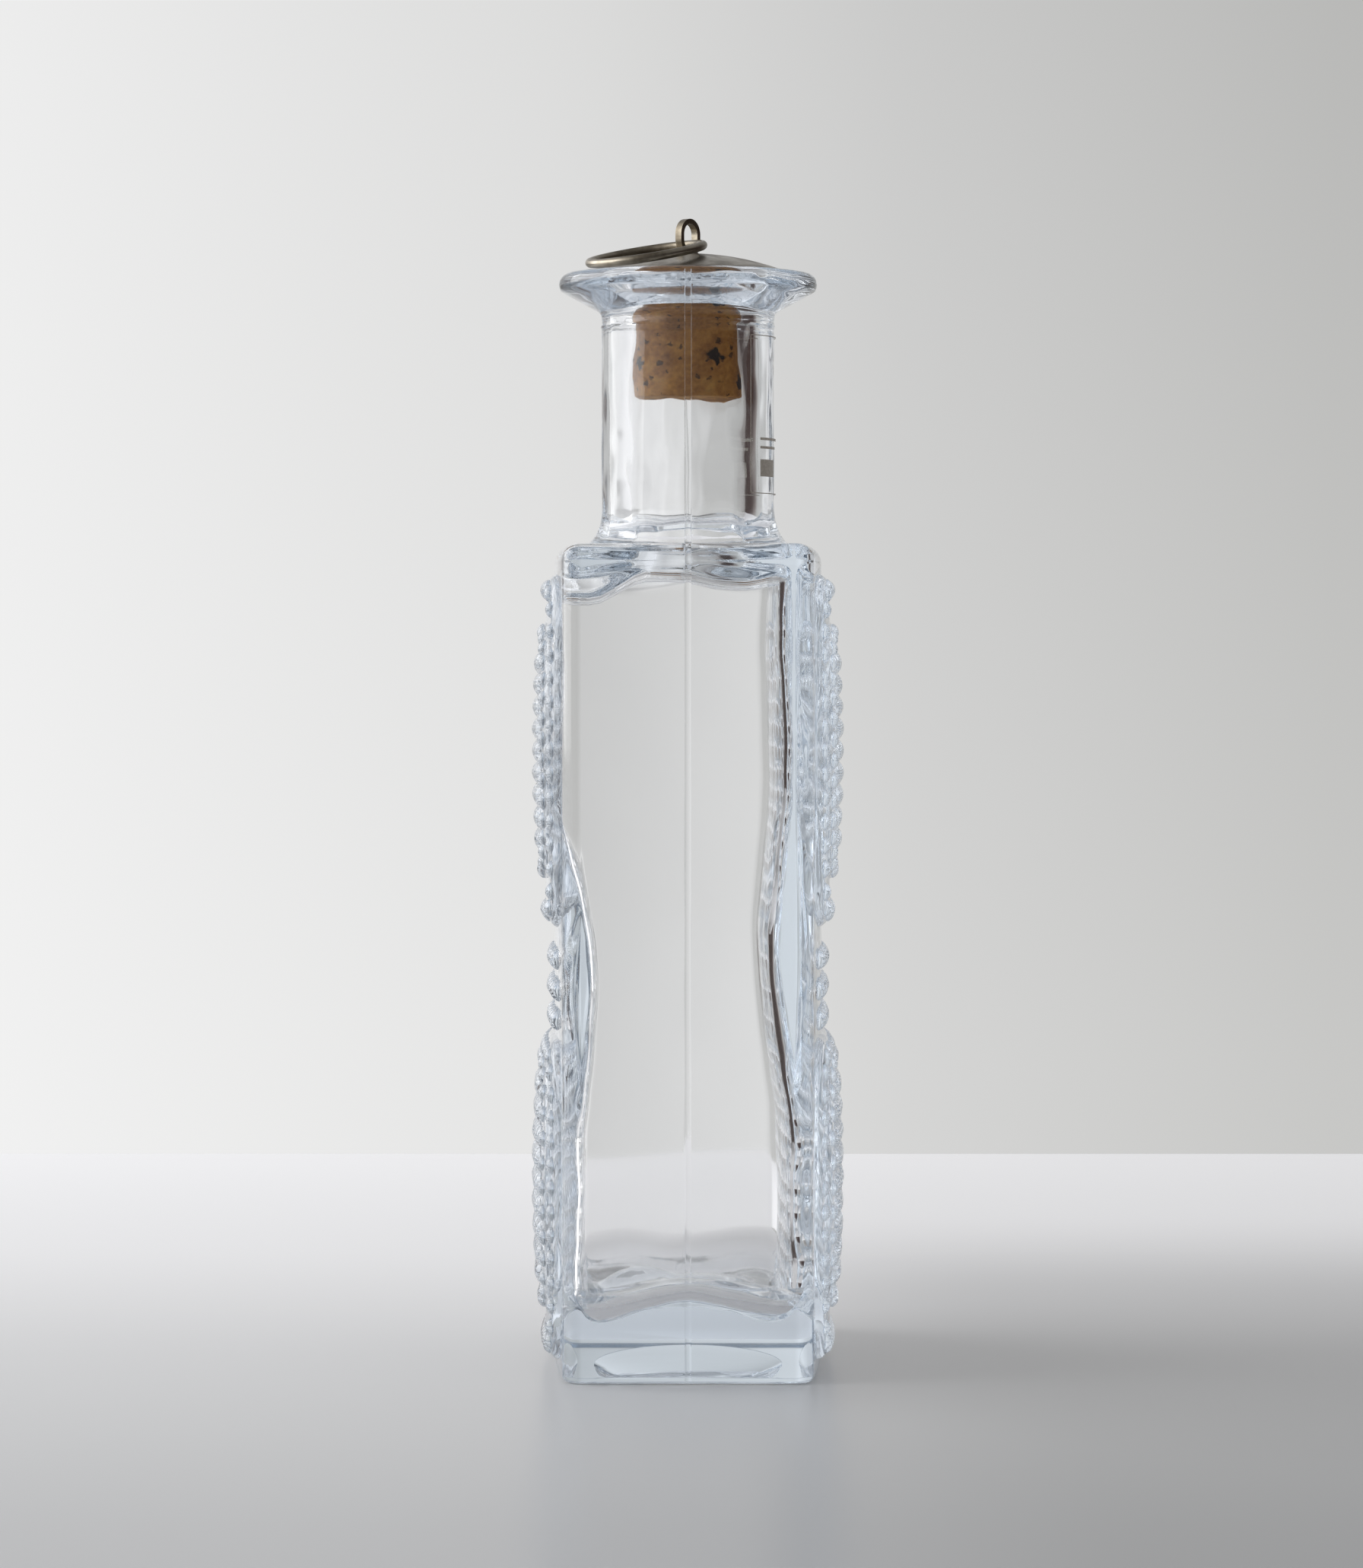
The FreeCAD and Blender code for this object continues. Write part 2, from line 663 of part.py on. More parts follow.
draw(
    eye_face,
    [
        ("0", HOLE_FOOT),
        ("Sizes.eye_bore", EYE_LOW),
        ("Sizes.eye_bore", EYE_HIGH),
        ("0", f"{EYE_HIGH} + Sizes.eye_bore"),
        ("-Sizes.eye_bore", EYE_HIGH),
        ("-Sizes.eye_bore", EYE_LOW),
    ],
    {side: ("Sizes.eye_bore", 1) for side in (0, 2, 3, 5)},
)
pad(eye, "Strip", eye_face, "Sizes.eye_width", both_ways=True)
eye.setExpression("Placement.Rotation.Angle", "Sizes.eye_turn")


# ---------------------------------------------------------------------------------------------------
# Pull ring: a bent wire with a butt joint, threaded through the eye. It hangs down until its far side
# meets the lip or, if the ring is too small to reach past the cap, the dome
# ---------------------------------------------------------------------------------------------------
WIRE_FOOT = f"({PIVOT} - Sizes.wire_radius - Sizes.ring_slack)"
OVER_DOME_MIDDLE = f"({WIRE_FOOT} - {DOME_FOOT} - Sizes.cap_crown + {DOME_RADIUS})"
DROP_TO_LIP = f"({WIRE_FOOT} - {LIP_TOP})"
DROP_TO_DOME = (
    f"((4 * Sizes.ring_radius^2 + {OVER_DOME_MIDDLE}^2 - {DOME_RADIUS}^2) / (2 * {OVER_DOME_MIDDLE}))"
)
RING_LEAN = f"asin(min({DROP_TO_LIP}; {DROP_TO_DOME}) / (2 * Sizes.ring_radius))"
SEAM_REACH = "(Sizes.ring_radius - 2 * Sizes.wire_radius)"

ring = body_named("ring")
wire = ring.newObject("PartDesign::AdditiveTorus", "Wire")
wire.setExpression("Radius1", "Sizes.ring_radius")
wire.setExpression("Radius2", "Sizes.wire_radius")
doc.recompute()
seam = ring.newObject("PartDesign::SubtractiveBox", "Seam")
seam.setExpression("Length", "4 * Sizes.wire_radius")
seam.setExpression("Width", "Sizes.seam_gap")
seam.setExpression("Height", "4 * Sizes.wire_radius")
seam.setExpression("Placement.Rotation.Angle", "Sizes.seam_turn")
seam.setExpression("Placement.Base.x", f"{SEAM_REACH} * cos(Sizes.seam_turn)")
seam.setExpression("Placement.Base.y", f"{SEAM_REACH} * sin(Sizes.seam_turn)")
seam.setExpression("Placement.Base.z", "-2 * Sizes.wire_radius")
doc.recompute()

turn = math.radians(size("Sizes.ring_turn"))
lean_axis = FreeCAD.Vector(-math.sin(turn), math.cos(turn), 0)
ring.Placement = FreeCAD.Placement(FreeCAD.Vector(), FreeCAD.Rotation(lean_axis, -size(RING_LEAN)))
ring.setExpression("Placement.Rotation.Angle", f"-({RING_LEAN})")
RING_REACH = f"Sizes.ring_radius * cos({RING_LEAN})"
ring.setExpression("Placement.Base.x", f"-{RING_REACH} * cos(Sizes.ring_turn)")
ring.setExpression("Placement.Base.y", f"-{RING_REACH} * sin(Sizes.ring_turn)")
ring.setExpression("Placement.Base.z", f"{PIVOT} - Sizes.ring_radius * sin({RING_LEAN})")
doc.recompute()


# ---------------------------------------------------------------------------------------------------
# Checks and export
# ---------------------------------------------------------------------------------------------------
for item in doc.Objects:
    if any(word in state for state in item.State for word in ("Invalid", "Error")):
        raise RuntimeError(f"{item.Label} failed: {item.State}")

os.makedirs("parts", exist_ok=True)
for piece in (bottle, cork, cap, eye, ring):
    shape = piece.Shape
    if shape.isNull() or not shape.isValid() or len(shape.Solids) != 1:
        raise RuntimeError(f"{piece.Label} is not one sound solid")
    shape.exportStep(f"parts/{piece.Label}.step")
    box = shape.BoundBox
    print(
        f"{piece.Label}: {shape.Volume / 1000:.2f} cm3, X {box.XMin:.2f} to {box.XMax:.2f},"
        f" Y {box.YMin:.2f} to {box.YMax:.2f}, Z {box.ZMin:.2f} to {box.ZMax:.2f}"
    )
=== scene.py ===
# %% [markdown]
# # A square-shouldered glass decanter with a cork, a domed cap and a pull ring
# The part comes from CAD as five closed solids in their right size and place. The glass, the cork
# and the cap are modelled again by hand, because what makes them look real is small and not in the
# CAD: hobnails, a mould seam, a blown inside whose walls wander. Everything is in metres.

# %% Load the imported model
import math
import random
import bmesh
import bpy
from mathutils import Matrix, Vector


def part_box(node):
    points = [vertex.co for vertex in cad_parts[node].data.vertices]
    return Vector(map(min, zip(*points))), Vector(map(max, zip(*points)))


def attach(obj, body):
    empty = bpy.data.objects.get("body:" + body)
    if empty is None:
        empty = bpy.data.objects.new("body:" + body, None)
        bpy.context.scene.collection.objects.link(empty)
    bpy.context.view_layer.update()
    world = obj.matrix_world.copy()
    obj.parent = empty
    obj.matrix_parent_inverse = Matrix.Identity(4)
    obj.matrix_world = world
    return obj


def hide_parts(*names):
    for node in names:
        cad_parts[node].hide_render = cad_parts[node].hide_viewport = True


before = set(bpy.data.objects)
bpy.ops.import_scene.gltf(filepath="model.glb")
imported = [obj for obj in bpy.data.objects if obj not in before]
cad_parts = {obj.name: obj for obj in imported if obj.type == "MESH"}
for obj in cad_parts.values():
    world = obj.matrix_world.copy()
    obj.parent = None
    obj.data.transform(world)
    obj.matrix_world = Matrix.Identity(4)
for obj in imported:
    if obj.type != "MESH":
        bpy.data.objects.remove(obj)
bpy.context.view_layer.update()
MM = 0.001
BODY = "decanter"

bottle_low, bottle_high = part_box("bottle")
LIP_TOP = bottle_high.z
print("bottle", [round(value / MM, 2) for value in (*bottle_low, *bottle_high)])

# %% [markdown]
# ## Picking by place
# Every operator acts on what is selected, and loading left the CAD nodes selected. So each step
# starts from nothing selected, and picks its vertices, edges or faces by a test on their place.
# Picking by index breaks when the mesh changes, and picking by mouse can't be scripted.

# %% Select, edit and finish
def only(obj):
    """Makes obj the one selected and active object."""
    if bpy.context.object and bpy.context.object.mode != "OBJECT":
        bpy.ops.object.mode_set(mode="OBJECT")
    bpy.ops.object.select_all(action="DESELECT")
    obj.select_set(True)
    bpy.context.view_layer.objects.active = obj


def start(name):
    """Names the primitive just added, puts its place in its mesh and opens it in edit mode."""
    obj = bpy.context.active_object
    obj.name = obj.data.name = name
    only(obj)
    bpy.ops.object.transform_apply(location=True, rotation=True, scale=True)
    bpy.ops.object.mode_set(mode="EDIT")
    bpy.ops.mesh.select_all(action="DESELECT")
    return obj


def pick(obj, kind, test):
    """Selects the verts, edges or faces for which the test on their corners is true."""
    bpy.ops.mesh.select_mode(type=kind[:-1].upper())
    bpy.ops.mesh.select_all(action="DESELECT")
    mesh = bmesh.from_edit_mesh(obj.data)
    for item in getattr(mesh, kind):
        corners = [item.co] if kind == "verts" else [corner.co for corner in item.verts]
        if test(corners):
            item.select_set(True)
    mesh.select_flush_mode()
    bmesh.update_edit_mesh(obj.data)


def done(obj):
    """Closes edit mode and hands the object on."""
    bpy.ops.object.mode_set(mode="OBJECT")
    only(obj)
    return obj


# %% Tests and steps that come back
def same(a, b, room=1e-6):
    return abs(a - b) < room


def level(corners, height):
    """True when all corners lie at this height."""
    return all(same(corner.z, height) for corner in corners)


def close_to(corner, x, y, room):
    """True when a corner, seen from above, lies this close to a place."""
    return math.hypot(corner.x - x, corner.y - y) < room


def select_everything():
    bpy.ops.mesh.select_all(action="SELECT")


def turn_outwards():
    """Makes every face of the open mesh look out."""
    select_everything()
    bpy.ops.mesh.normals_make_consistent(inside=False)


def round_edges(offset, segments):
    bpy.ops.mesh.bevel(offset=offset, segments=segments, affect="EDGES")


def smooth(obj, degrees):
    """Smooth shading, but crisp along edges that turn by more than this."""
    only(obj)
    bpy.ops.object.shade_smooth_by_angle(angle=math.radians(degrees))


def add_to_scene(obj):
    bpy.context.scene.collection.objects.link(obj)


# %% [markdown]
# ## Modifiers, unions and cuts
# A modifier stays live until it is applied. The model grows step by step, so each one is applied at
# once. Pieces of glass are united, or cut from one another, with a Boolean modifier. Its Manifold
# solver is the quickest and keeps a closed shape closed.

# %% Modifiers, unions and cuts
def modify(obj, kind, **settings):
    """Adds a modifier, sets it and applies it."""
    only(obj)
    modifier = obj.modifiers.new(kind.title(), kind)
    for key, value in settings.items():
        setattr(modifier, key, value)
    bpy.ops.object.modifier_apply(modifier=modifier.name)


def merge(obj, other, how):
    """Unites obj with other, or cuts other out of it, and removes other."""
    modify(obj, "BOOLEAN", object=other, operation=how, solver="MANIFOLD")
    bpy.data.objects.remove(other)


def cuts(first, last, step):
    """Evenly spaced places strictly between two ends, no further apart than step."""
    count = math.ceil((last - first) / step)
    return [first + (last - first) * n / count for n in range(1, count)]


def slice_up(obj, normal, places):
    """Bisects the whole mesh by parallel planes, which adds edges without changing the shape."""
    for place in places:
        select_everything()
        bpy.ops.mesh.bisect(plane_co=Vector(normal) * place, plane_no=normal)


def swell(value, reach, falloff="INVERSE_SQUARE"):
    """Moves the selection, and takes what is near along with it."""
    bpy.ops.transform.translate(
        value=value, use_proportional_edit=True,
        proportional_edit_falloff=falloff, proportional_size=reach,
    )


def joined(parts):
    """Joins the parts to the first of them."""
    only(parts[0])
    for part in parts:
        part.select_set(True)
    bpy.ops.object.join()
    return parts[0]


# %% [markdown]
# ## Glass that cooled uneven
# Pressed glass is never quite flat. Sculpting that by hand is slow and differs each time, and bump
# would only shade it. A Displace modifier with a cloud texture moves the points, which bends what
# shows through. An empty gives the texture its scale, so it can be drawn out.

# %% Uneven glass
def ripple(obj, name, scale, strength, direction="NORMAL", stretch=1.0, middle=0.5, where=None):
    """Moves the points by a soft noise; stretch draws it out upwards."""
    group = ""
    if where:
        group = obj.vertex_groups.new(name=name).name
        chosen = [point.index for point in obj.data.vertices if where(point.co)]
        obj.vertex_groups[group].add(chosen, 1.0, "ADD")
    cloud = bpy.data.textures.new(name, "CLOUDS")
    cloud.noise_scale = scale
    cloud.noise_depth = 1
    measure = bpy.data.objects.new(name, None)
    measure.scale = (1, 1, stretch)
    add_to_scene(measure)
    bpy.context.view_layer.update()
    modify(
        obj, "DISPLACE", texture=cloud, strength=strength, mid_level=middle, direction=direction,
        texture_coords="OBJECT", texture_coords_object=measure, vertex_group=group,
    )
    bpy.data.objects.remove(measure)


# %% [markdown]
# ## Round pieces
# The neck, the bore, the cork, the cap and each bump are turned shapes. Spin and the Screw modifier
# turn a profile, but leave a seam to be merged. A circle that is extruded and scaled again and again
# has no seam, and the first circle and the last close its ends.

# %% Turned pieces
def turned(name, profile, sides):
    """A closed round piece: a circle extruded from one (radius, height) to the next, and capped."""
    radius, height = profile[0]
    bpy.ops.mesh.primitive_circle_add(
        vertices=sides, radius=radius, location=(0, 0, height), fill_type="NGON"
    )
    obj = start(name)
    select_everything()
    for new_radius, new_height in profile[1:]:
        lift = {"value": (0, 0, new_height - height)}
        bpy.ops.mesh.extrude_region_move(TRANSFORM_OT_translate=lift)
        if not same(new_radius, radius):
            ratio = new_radius / radius
            bpy.ops.transform.resize(value=(ratio, ratio, 1))
        radius, height = new_radius, new_height
    turn_outwards()
    return done(obj)


def arc(middle, radius, first, last, steps):
    """Points of an arc in (radius, height), its ends given as angles in degrees."""
    across, up = middle
    turns = [math.radians(first + (last - first) * n / steps) for n in range(steps + 1)]
    return [(across + radius * math.cos(turn), up + radius * math.sin(turn)) for turn in turns]


# %% [markdown]
# ## The camera
# The camera is nearly level, a little under the bottle's shoulder, and far off with a long lens, so
# upright edges stay upright. A shift of the lens would frame the same, but it would stay in every
# other view too, so the camera looks down by about a degree instead.

# %% Place the camera
EYE_HEIGHT = 161.9 * MM
CAMERA_ASIDE = -1.5 * MM
CAMERA_AWAY = 1.297
LENS = 126.25
LOOK_DOWN = 1.193

camera_data = bpy.data.cameras.new("camera")
camera_data.lens = LENS
camera = bpy.data.objects.new("camera", camera_data)
add_to_scene(camera)
camera.location = (CAMERA_ASIDE, -CAMERA_AWAY, EYE_HEIGHT)
camera.rotation_euler = (math.radians(90 - LOOK_DOWN), 0, 0)
bpy.context.scene.camera = camera
print("camera", [round(value, 3) for value in camera.location])

# %% [markdown]
# ## The outside of the bottle
# The body is a block with rounded corners whose two wide faces swell by a few millimetres. A
# lattice could bend it. Here a cube is bevelled, sliced so that it has points to move, and the
# middle of each wide face is pulled out with proportional editing, whose inverse-square falloff is
# close to the mould's arc.

# %% Body block
BODY_WIDTH = 56.2 * MM
BODY_DEPTH = bottle_high.y - bottle_low.y
NECK_LENGTH = 64.5 * MM
SHOULDER = LIP_TOP - NECK_LENGTH
FACE_BOW = 3.2 * MM
FACE = BODY_WIDTH / 2 + FACE_BOW
CORNER_ROUND = 4.0 * MM
SHOULDER_ROUND = 3.8 * MM
FOOT_ROUND = 1.6 * MM


def block():
    half_width = BODY_WIDTH / 2
    half_depth = BODY_DEPTH / 2
    size = (BODY_WIDTH, BODY_DEPTH, SHOULDER)
    bpy.ops.mesh.primitive_cube_add(size=1, location=(0, 0, SHOULDER / 2), scale=size)
    obj = start("decanter_glass")
    pick(obj, "edges", lambda c: same(c[0].x, c[1].x) and same(c[0].y, c[1].y))
    round_edges(CORNER_ROUND, 7)
    slice_up(obj, (0, 1, 0), cuts(CORNER_ROUND - half_depth, half_depth - CORNER_ROUND, 3.4 * MM))
    for side in (1, -1):
        pick(obj, "verts", lambda c: same(c[0].y, 0) and same(c[0].x, side * half_width))
        swell((side * FACE_BOW, 0, 0), half_depth)
    pick(obj, "edges", lambda c: level(c, SHOULDER) and is_rim(c))
    round_edges(SHOULDER_ROUND, 6)
    pick(obj, "edges", lambda c: level(c, 0) and is_rim(c))
    round_edges(FOOT_ROUND, 4)
    slice_up(obj, (0, 0, 1), cuts(0, SHOULDER, 4.0 * MM))
    return done(obj)


def is_rim(corners):
    """True for an edge of the outline, and false for one that crosses the top or the foot."""
    crosses = same(corners[0].y, corners[1].y, 1e-5)
    return not crosses or abs(corners[0].y) > BODY_DEPTH / 2 - 0.1 * MM


glass = block()
print("block", len(glass.data.vertices), "vertices")

# %% [markdown]
# ## Uneven sides
# The wide faces and the foot touch the mould for longest, so the glass wanders there. A ripple all
# over would be simpler, but the narrow faces stay clear, because one looks straight through them.

# %% Uneven sides
def on_wide_face(place):
    beyond = abs(place.x) > 27 * MM and abs(place.y) < 50 * MM
    return beyond and 4 * MM < place.z < 184 * MM


def on_foot_of_narrow_face(place):
    beyond = abs(place.y) > 50 * MM and abs(place.x) < 24 * MM
    return beyond and 3 * MM < place.z < 14 * MM


ripple(glass, "side_ripple", 12 * MM, 0.5 * MM, "X", where=on_wide_face)
ripple(glass, "foot_ripple", 9 * MM, 0.5 * MM, "Y", where=on_foot_of_narrow_face)
print("half width", round(max(point.co.x for point in glass.data.vertices) / MM, 2), "mm")

# %% [markdown]
# ## Neck and lip
# The neck is a round profile: its foot sweeps into the shoulder, its top tucks under the flared lip,
# and a fine ridge shows where the neck mould met the body mould. A Screw modifier on a drawn curve
# gives the same, but a turned list of points can be read from the foot up.

# %% Outline of the neck
NECK_RADIUS = 20.3 * MM
NECK_SWEEP = 6.0 * MM
SWEEP_HEIGHT = 9.0 * MM
LIP_RADIUS = 30.4 * MM
LIP_ROOT = LIP_TOP - 10.4 * MM
LIP_EDGE = 2.6 * MM
LIP_TUCK = 2.2 * MM
RIDGE_HEIGHT = LIP_TOP - 12.5 * MM
RIDGE = 0.22 * MM
NECK_SIDES = 144


def neck_profile(proud=0.0):
    """The neck's outline from the shoulder to the lip, or a line that much outside it."""
    radius = NECK_RADIUS + proud
    foot = []
    for angle in (75, 65, 55, 45, 35, 25, 12, 0):
        turn = math.radians(angle)
        out = (NECK_SWEEP - proud) * (1 - math.cos(turn))
        foot.append((radius + out, SHOULDER + proud + SWEEP_HEIGHT * (1 - math.sin(turn))))
    ridge = [
        (radius, RIDGE_HEIGHT - 0.5 * MM),
        (radius + RIDGE, RIDGE_HEIGHT - 0.15 * MM),
        (radius + RIDGE, RIDGE_HEIGHT + 0.15 * MM),
        (radius, RIDGE_HEIGHT + 0.5 * MM),
    ]
    tuck = arc((radius + LIP_TUCK, LIP_ROOT - 0.3 * MM), LIP_TUCK, 180, 128, 5)
    edge = arc((LIP_RADIUS - LIP_EDGE, LIP_TOP - LIP_EDGE), LIP_EDGE + proud, -38, 90, 10)
    flare = [
        tuple(low + (high - low) * part for low, high in zip(tuck[-1], edge[0]))
        for part in (0.25, 0.5, 0.75)
    ]
    straight = [(radius, z) for z in cuts(SHOULDER + SWEEP_HEIGHT + proud, RIDGE_HEIGHT, 2.2 * MM)]
    return foot + straight + ridge + tuck + flare + edge


# %% Neck and lip
def under_ridge(place):
    return place.z < RIDGE_HEIGHT


def over_ridge(place):
    return place.z > RIDGE_HEIGHT


root = [(24.0 * MM, SHOULDER - 3.0 * MM), (26.2 * MM, SHOULDER - 0.5 * MM)]
neck = turned("neck", root + neck_profile(), NECK_SIDES)
ripple(neck, "neck_ripple", 8 * MM, 0.35 * MM, where=under_ridge)
ripple(neck, "neck_streaks", 4 * MM, 0.3 * MM, stretch=6, where=under_ridge)
ripple(neck, "lip_rings", 5 * MM, 0.22 * MM, stretch=0.25, where=over_ridge)
merge(glass, neck, "UNION")
print("with neck", len(glass.data.vertices), "vertices")

# %% [markdown]
# ## Raised panels
# Each wide face carries two low plinths, and a domed medallion on each. Cutting a medallion from a
# sphere would need a ball almost a metre wide. So each panel is a plane with its corners rounded by
# a vertex bevel, extruded into the body, sliced, and domed with proportional editing.

# %% One panel
PANEL_ROOT = 7.0 * MM
PANEL_SOFT = 3.0 * MM
CROWN = 400.0 * MM


def panel(side, foot, top, margin, corner, rise, domed):
    """One raised panel on the side's wide face, from foot to top."""
    half_depth = BODY_DEPTH / 2 - margin
    middle = (foot + top) / 2
    reach = 60.0 * MM if domed else BODY_DEPTH / 2
    lift = reach**2 / (2 * CROWN) if domed else FACE_BOW
    front = FACE + rise - lift
    bpy.ops.mesh.primitive_plane_add(
        size=1, location=(side * front, 0, middle), rotation=(0, side * math.pi / 2, 0)
    )
    obj = start("panel")
    select_everything()
    bpy.ops.transform.resize(value=(1, 2 * half_depth, top - foot))
    bpy.ops.mesh.bevel(offset=corner, segments=12, affect="VERTICES")
    select_everything()
    inwards = {"value": (-side * PANEL_ROOT, 0, 0)}
    bpy.ops.mesh.extrude_region_move(TRANSFORM_OT_translate=inwards)
    turn_outwards()
    pick(obj, "edges", lambda c: same(c[0].x, side * front) and same(c[1].x, side * front))
    round_edges(PANEL_SOFT, 5)
    slice_up(obj, (0, 1, 0), cuts(-half_depth, half_depth, half_depth / 14))
    if domed:
        slice_up(obj, (0, 0, 1), cuts(foot, top, (top - foot) / 20))
    pick(obj, "verts", lambda c: same(c[0].y, 0) and (same(c[0].z, middle) or not domed))
    swell((side * lift, 0, 0), reach)
    done(obj)
    ripple(obj, "panel_ripple", 6 * MM, 0.5 * MM)
    return obj


# %% Four plinths and four medallions
PLINTHS = ((3.0 * MM, 77.5 * MM), (SHOULDER - 88.0 * MM, SHOULDER - 6.5 * MM))
MEDALLIONS = ((12.0 * MM, 75.0 * MM), (SHOULDER - 78.5 * MM, SHOULDER - 16.5 * MM))
PLINTH_MARGIN = 7.0 * MM
MEDALLION_MARGIN = 13.0 * MM
PLINTH_ROUND = 14.0 * MM
MEDALLION_ROUND = 24.0 * MM
PLINTH_RISE = 2.0 * MM
MEDALLION_RISE = 3.9 * MM

for side in (1, -1):
    for foot, top in PLINTHS:
        plinth = panel(side, foot, top, PLINTH_MARGIN, PLINTH_ROUND, PLINTH_RISE, False)
        merge(glass, plinth, "UNION")
    for foot, top in MEDALLIONS:
        medallion = panel(side, foot, top, MEDALLION_MARGIN, MEDALLION_ROUND, MEDALLION_RISE, True)
        merge(glass, medallion, "UNION")
print("with panels", len(glass.data.vertices), "vertices")

# %% [markdown]
# ## Hobnails and pearls
# Hobnails cover the medallions inside a row of pearls, and beads run across the waist. They make the
# bottle's edges glitter, and bump would neither change the outline nor bend what shows through. So
# each is a low dome, turned once and copied, and each kind is united with the glass in one step.
# They differ a little, as in a mould cut by hand, by seeded random numbers that each run repeats.

# %% One dome and its copies
random.seed(11)
DOME_ROOT = 1.2 * MM
DOME_SIDES = 12


def dome(ball, rise):
    """A low dome pointing along +X, its foot round the origin, with a root into the glass."""
    foot = math.sqrt(2 * ball * rise - rise**2)
    slant = math.degrees(math.asin((ball - rise) / ball))
    profile = [(foot, -DOME_ROOT)] + arc((0, rise - ball), ball, slant, 80, 3)
    obj = turned("dome", profile, DOME_SIDES)
    obj.rotation_euler = (0, math.pi / 2, 0)
    bpy.ops.object.transform_apply(location=False, rotation=True, scale=False)
    return obj


def scatter(pattern, places, unevenness):
    """Copies of a dome at these places on both wide faces, joined to one piece."""
    copies = []
    for side in (1, -1):
        for x, y, z in places:
            copy = pattern.copy()
            copy.data = pattern.data.copy()
            add_to_scene(copy)
            grow = 1 + random.uniform(-unevenness, unevenness)
            shift = [random.uniform(-unevenness, unevenness) * 2 * MM for _ in range(2)]
            copy.scale = (side * grow, grow, grow)
            copy.location = (side * x, y + shift[0], z + shift[1])
            copies.append(copy)
    bpy.data.objects.remove(pattern)
    joined(copies)
    obj = start("domes")
    turn_outwards()
    return done(obj)


# %% [markdown]
# ## Where the hobnails go
# The hobnails fill each medallion in staggered rows. An Array modifier makes straight rows, but knows
# nothing of round corners. So the places are counted out in code, and one is kept only where it lies
# far enough inside the medallion's edge.

# %% Rows of hobnails
def on_medallion(y, z, foot, top):
    """How far out a medallion's dome stands at this place."""
    return FACE + MEDALLION_RISE - (y**2 + (z - (foot + top) / 2) ** 2) / (2 * CROWN)


def inside(y, z, half_depth, half_height, corner):
    """How far a place lies inside a rectangle with round corners, about its middle."""
    across = abs(y) - half_depth + corner
    up = abs(z) - half_height + corner
    outside = math.hypot(max(across, 0), max(up, 0))
    return corner - outside - min(max(across, up), 0)


def field(foot, top, pitch, edge):
    """Places of the hobnails: staggered rows, kept clear of the pearls by an edge."""
    middle = (foot + top) / 2
    half_depth = BODY_DEPTH / 2 - MEDALLION_MARGIN
    half_height = (top - foot) / 2
    row_step = pitch * math.sqrt(3) / 2
    rows = int(half_height / row_step)
    places = []
    for row in range(-rows, rows + 1):
        columns = int(half_depth / pitch) + 1
        for column in range(-columns, columns + 1):
            y = (column + (row % 2) / 2) * pitch
            z = row * row_step
            if inside(y, z, half_depth, half_height, MEDALLION_ROUND) > edge:
                places.append((on_medallion(y, z + middle, foot, top), y, z + middle))
    return places


# %% [markdown]
# ## Where the pearls and beads go
# Pearls run round each medallion, and beads round each plinth, at an even pitch. An array along a
# curve does this too, but its first and last copy rarely meet. Here the length of the row is divided
# into a whole number of steps.

# %% Rows round an edge
PLINTH_BEAD_INSET = 3.6 * MM


def ring_round(half_depth, half_height, corner, inset, pitch):
    """Places (y, z) evenly round a rectangle with round corners, inset from its edge."""
    straight_y = half_depth - corner
    straight_z = half_height - corner
    corner = corner - inset
    quarter = math.pi / 2 * corner
    stretches = [2 * straight_y, quarter, 2 * straight_z, quarter] * 2
    length = sum(stretches)
    count = round(length / pitch)
    places = []
    for n in range(count):
        along = length * n / count
        for number, stretch in enumerate(stretches):
            if along <= stretch:
                break
            along -= stretch
        heading = math.pi / 2 * (number // 2)
        turn = along / corner if number % 2 else 0.0
        run = along if number % 2 == 0 else stretches[number - 1]
        # on each stretch the row keeps to the right of its own heading, and turns left at its end
        sides = (straight_y, straight_z) if number // 2 % 2 == 0 else (straight_z, straight_y)
        local_x = -sides[0] + run + corner * math.sin(turn)
        local_y = -sides[1] - corner * math.cos(turn)
        y = local_x * math.cos(heading) - local_y * math.sin(heading)
        z = local_x * math.sin(heading) + local_y * math.cos(heading)
        places.append((y, z))
    return places


def border(foot, top, inset, pitch):
    """Places of the pearls round a medallion."""
    middle = (foot + top) / 2
    half_depth = BODY_DEPTH / 2 - MEDALLION_MARGIN
    ring = ring_round(half_depth, (top - foot) / 2, MEDALLION_ROUND, inset, pitch)
    return [(on_medallion(y, z + middle, foot, top), y, z + middle) for y, z in ring]


def on_face(y, rise=0.0):
    """How far out the bowed face, or a plinth on it, stands here."""
    return FACE + rise - FACE_BOW * (y / (BODY_DEPTH / 2)) ** 2


def border_of_plinth(foot, top, pitch):
    """Places of the beads in the band between a plinth's edge and its medallion."""
    middle = (foot + top) / 2
    half_depth = BODY_DEPTH / 2 - PLINTH_MARGIN
    ring = ring_round(half_depth, (top - foot) / 2, PLINTH_ROUND, PLINTH_BEAD_INSET, pitch)
    return [(on_face(y, PLINTH_RISE), y, z + middle) for y, z in ring]


# %% Beads across the waist
BEAD_PITCH = 6.9 * MM
BEAD_FOOT = 81.5 * MM


def waist():
    """Places of the beads across the bare band, in staggered rows."""
    places = []
    for row in range(3):
        for column in range(-7, 8):
            y = (column + (row % 2) / 2) * BEAD_PITCH
            if abs(y) < BODY_DEPTH / 2 - MEDALLION_MARGIN - 2.5 * MM:
                places.append((on_face(y), y, BEAD_FOOT + BEAD_PITCH * row))
    return places


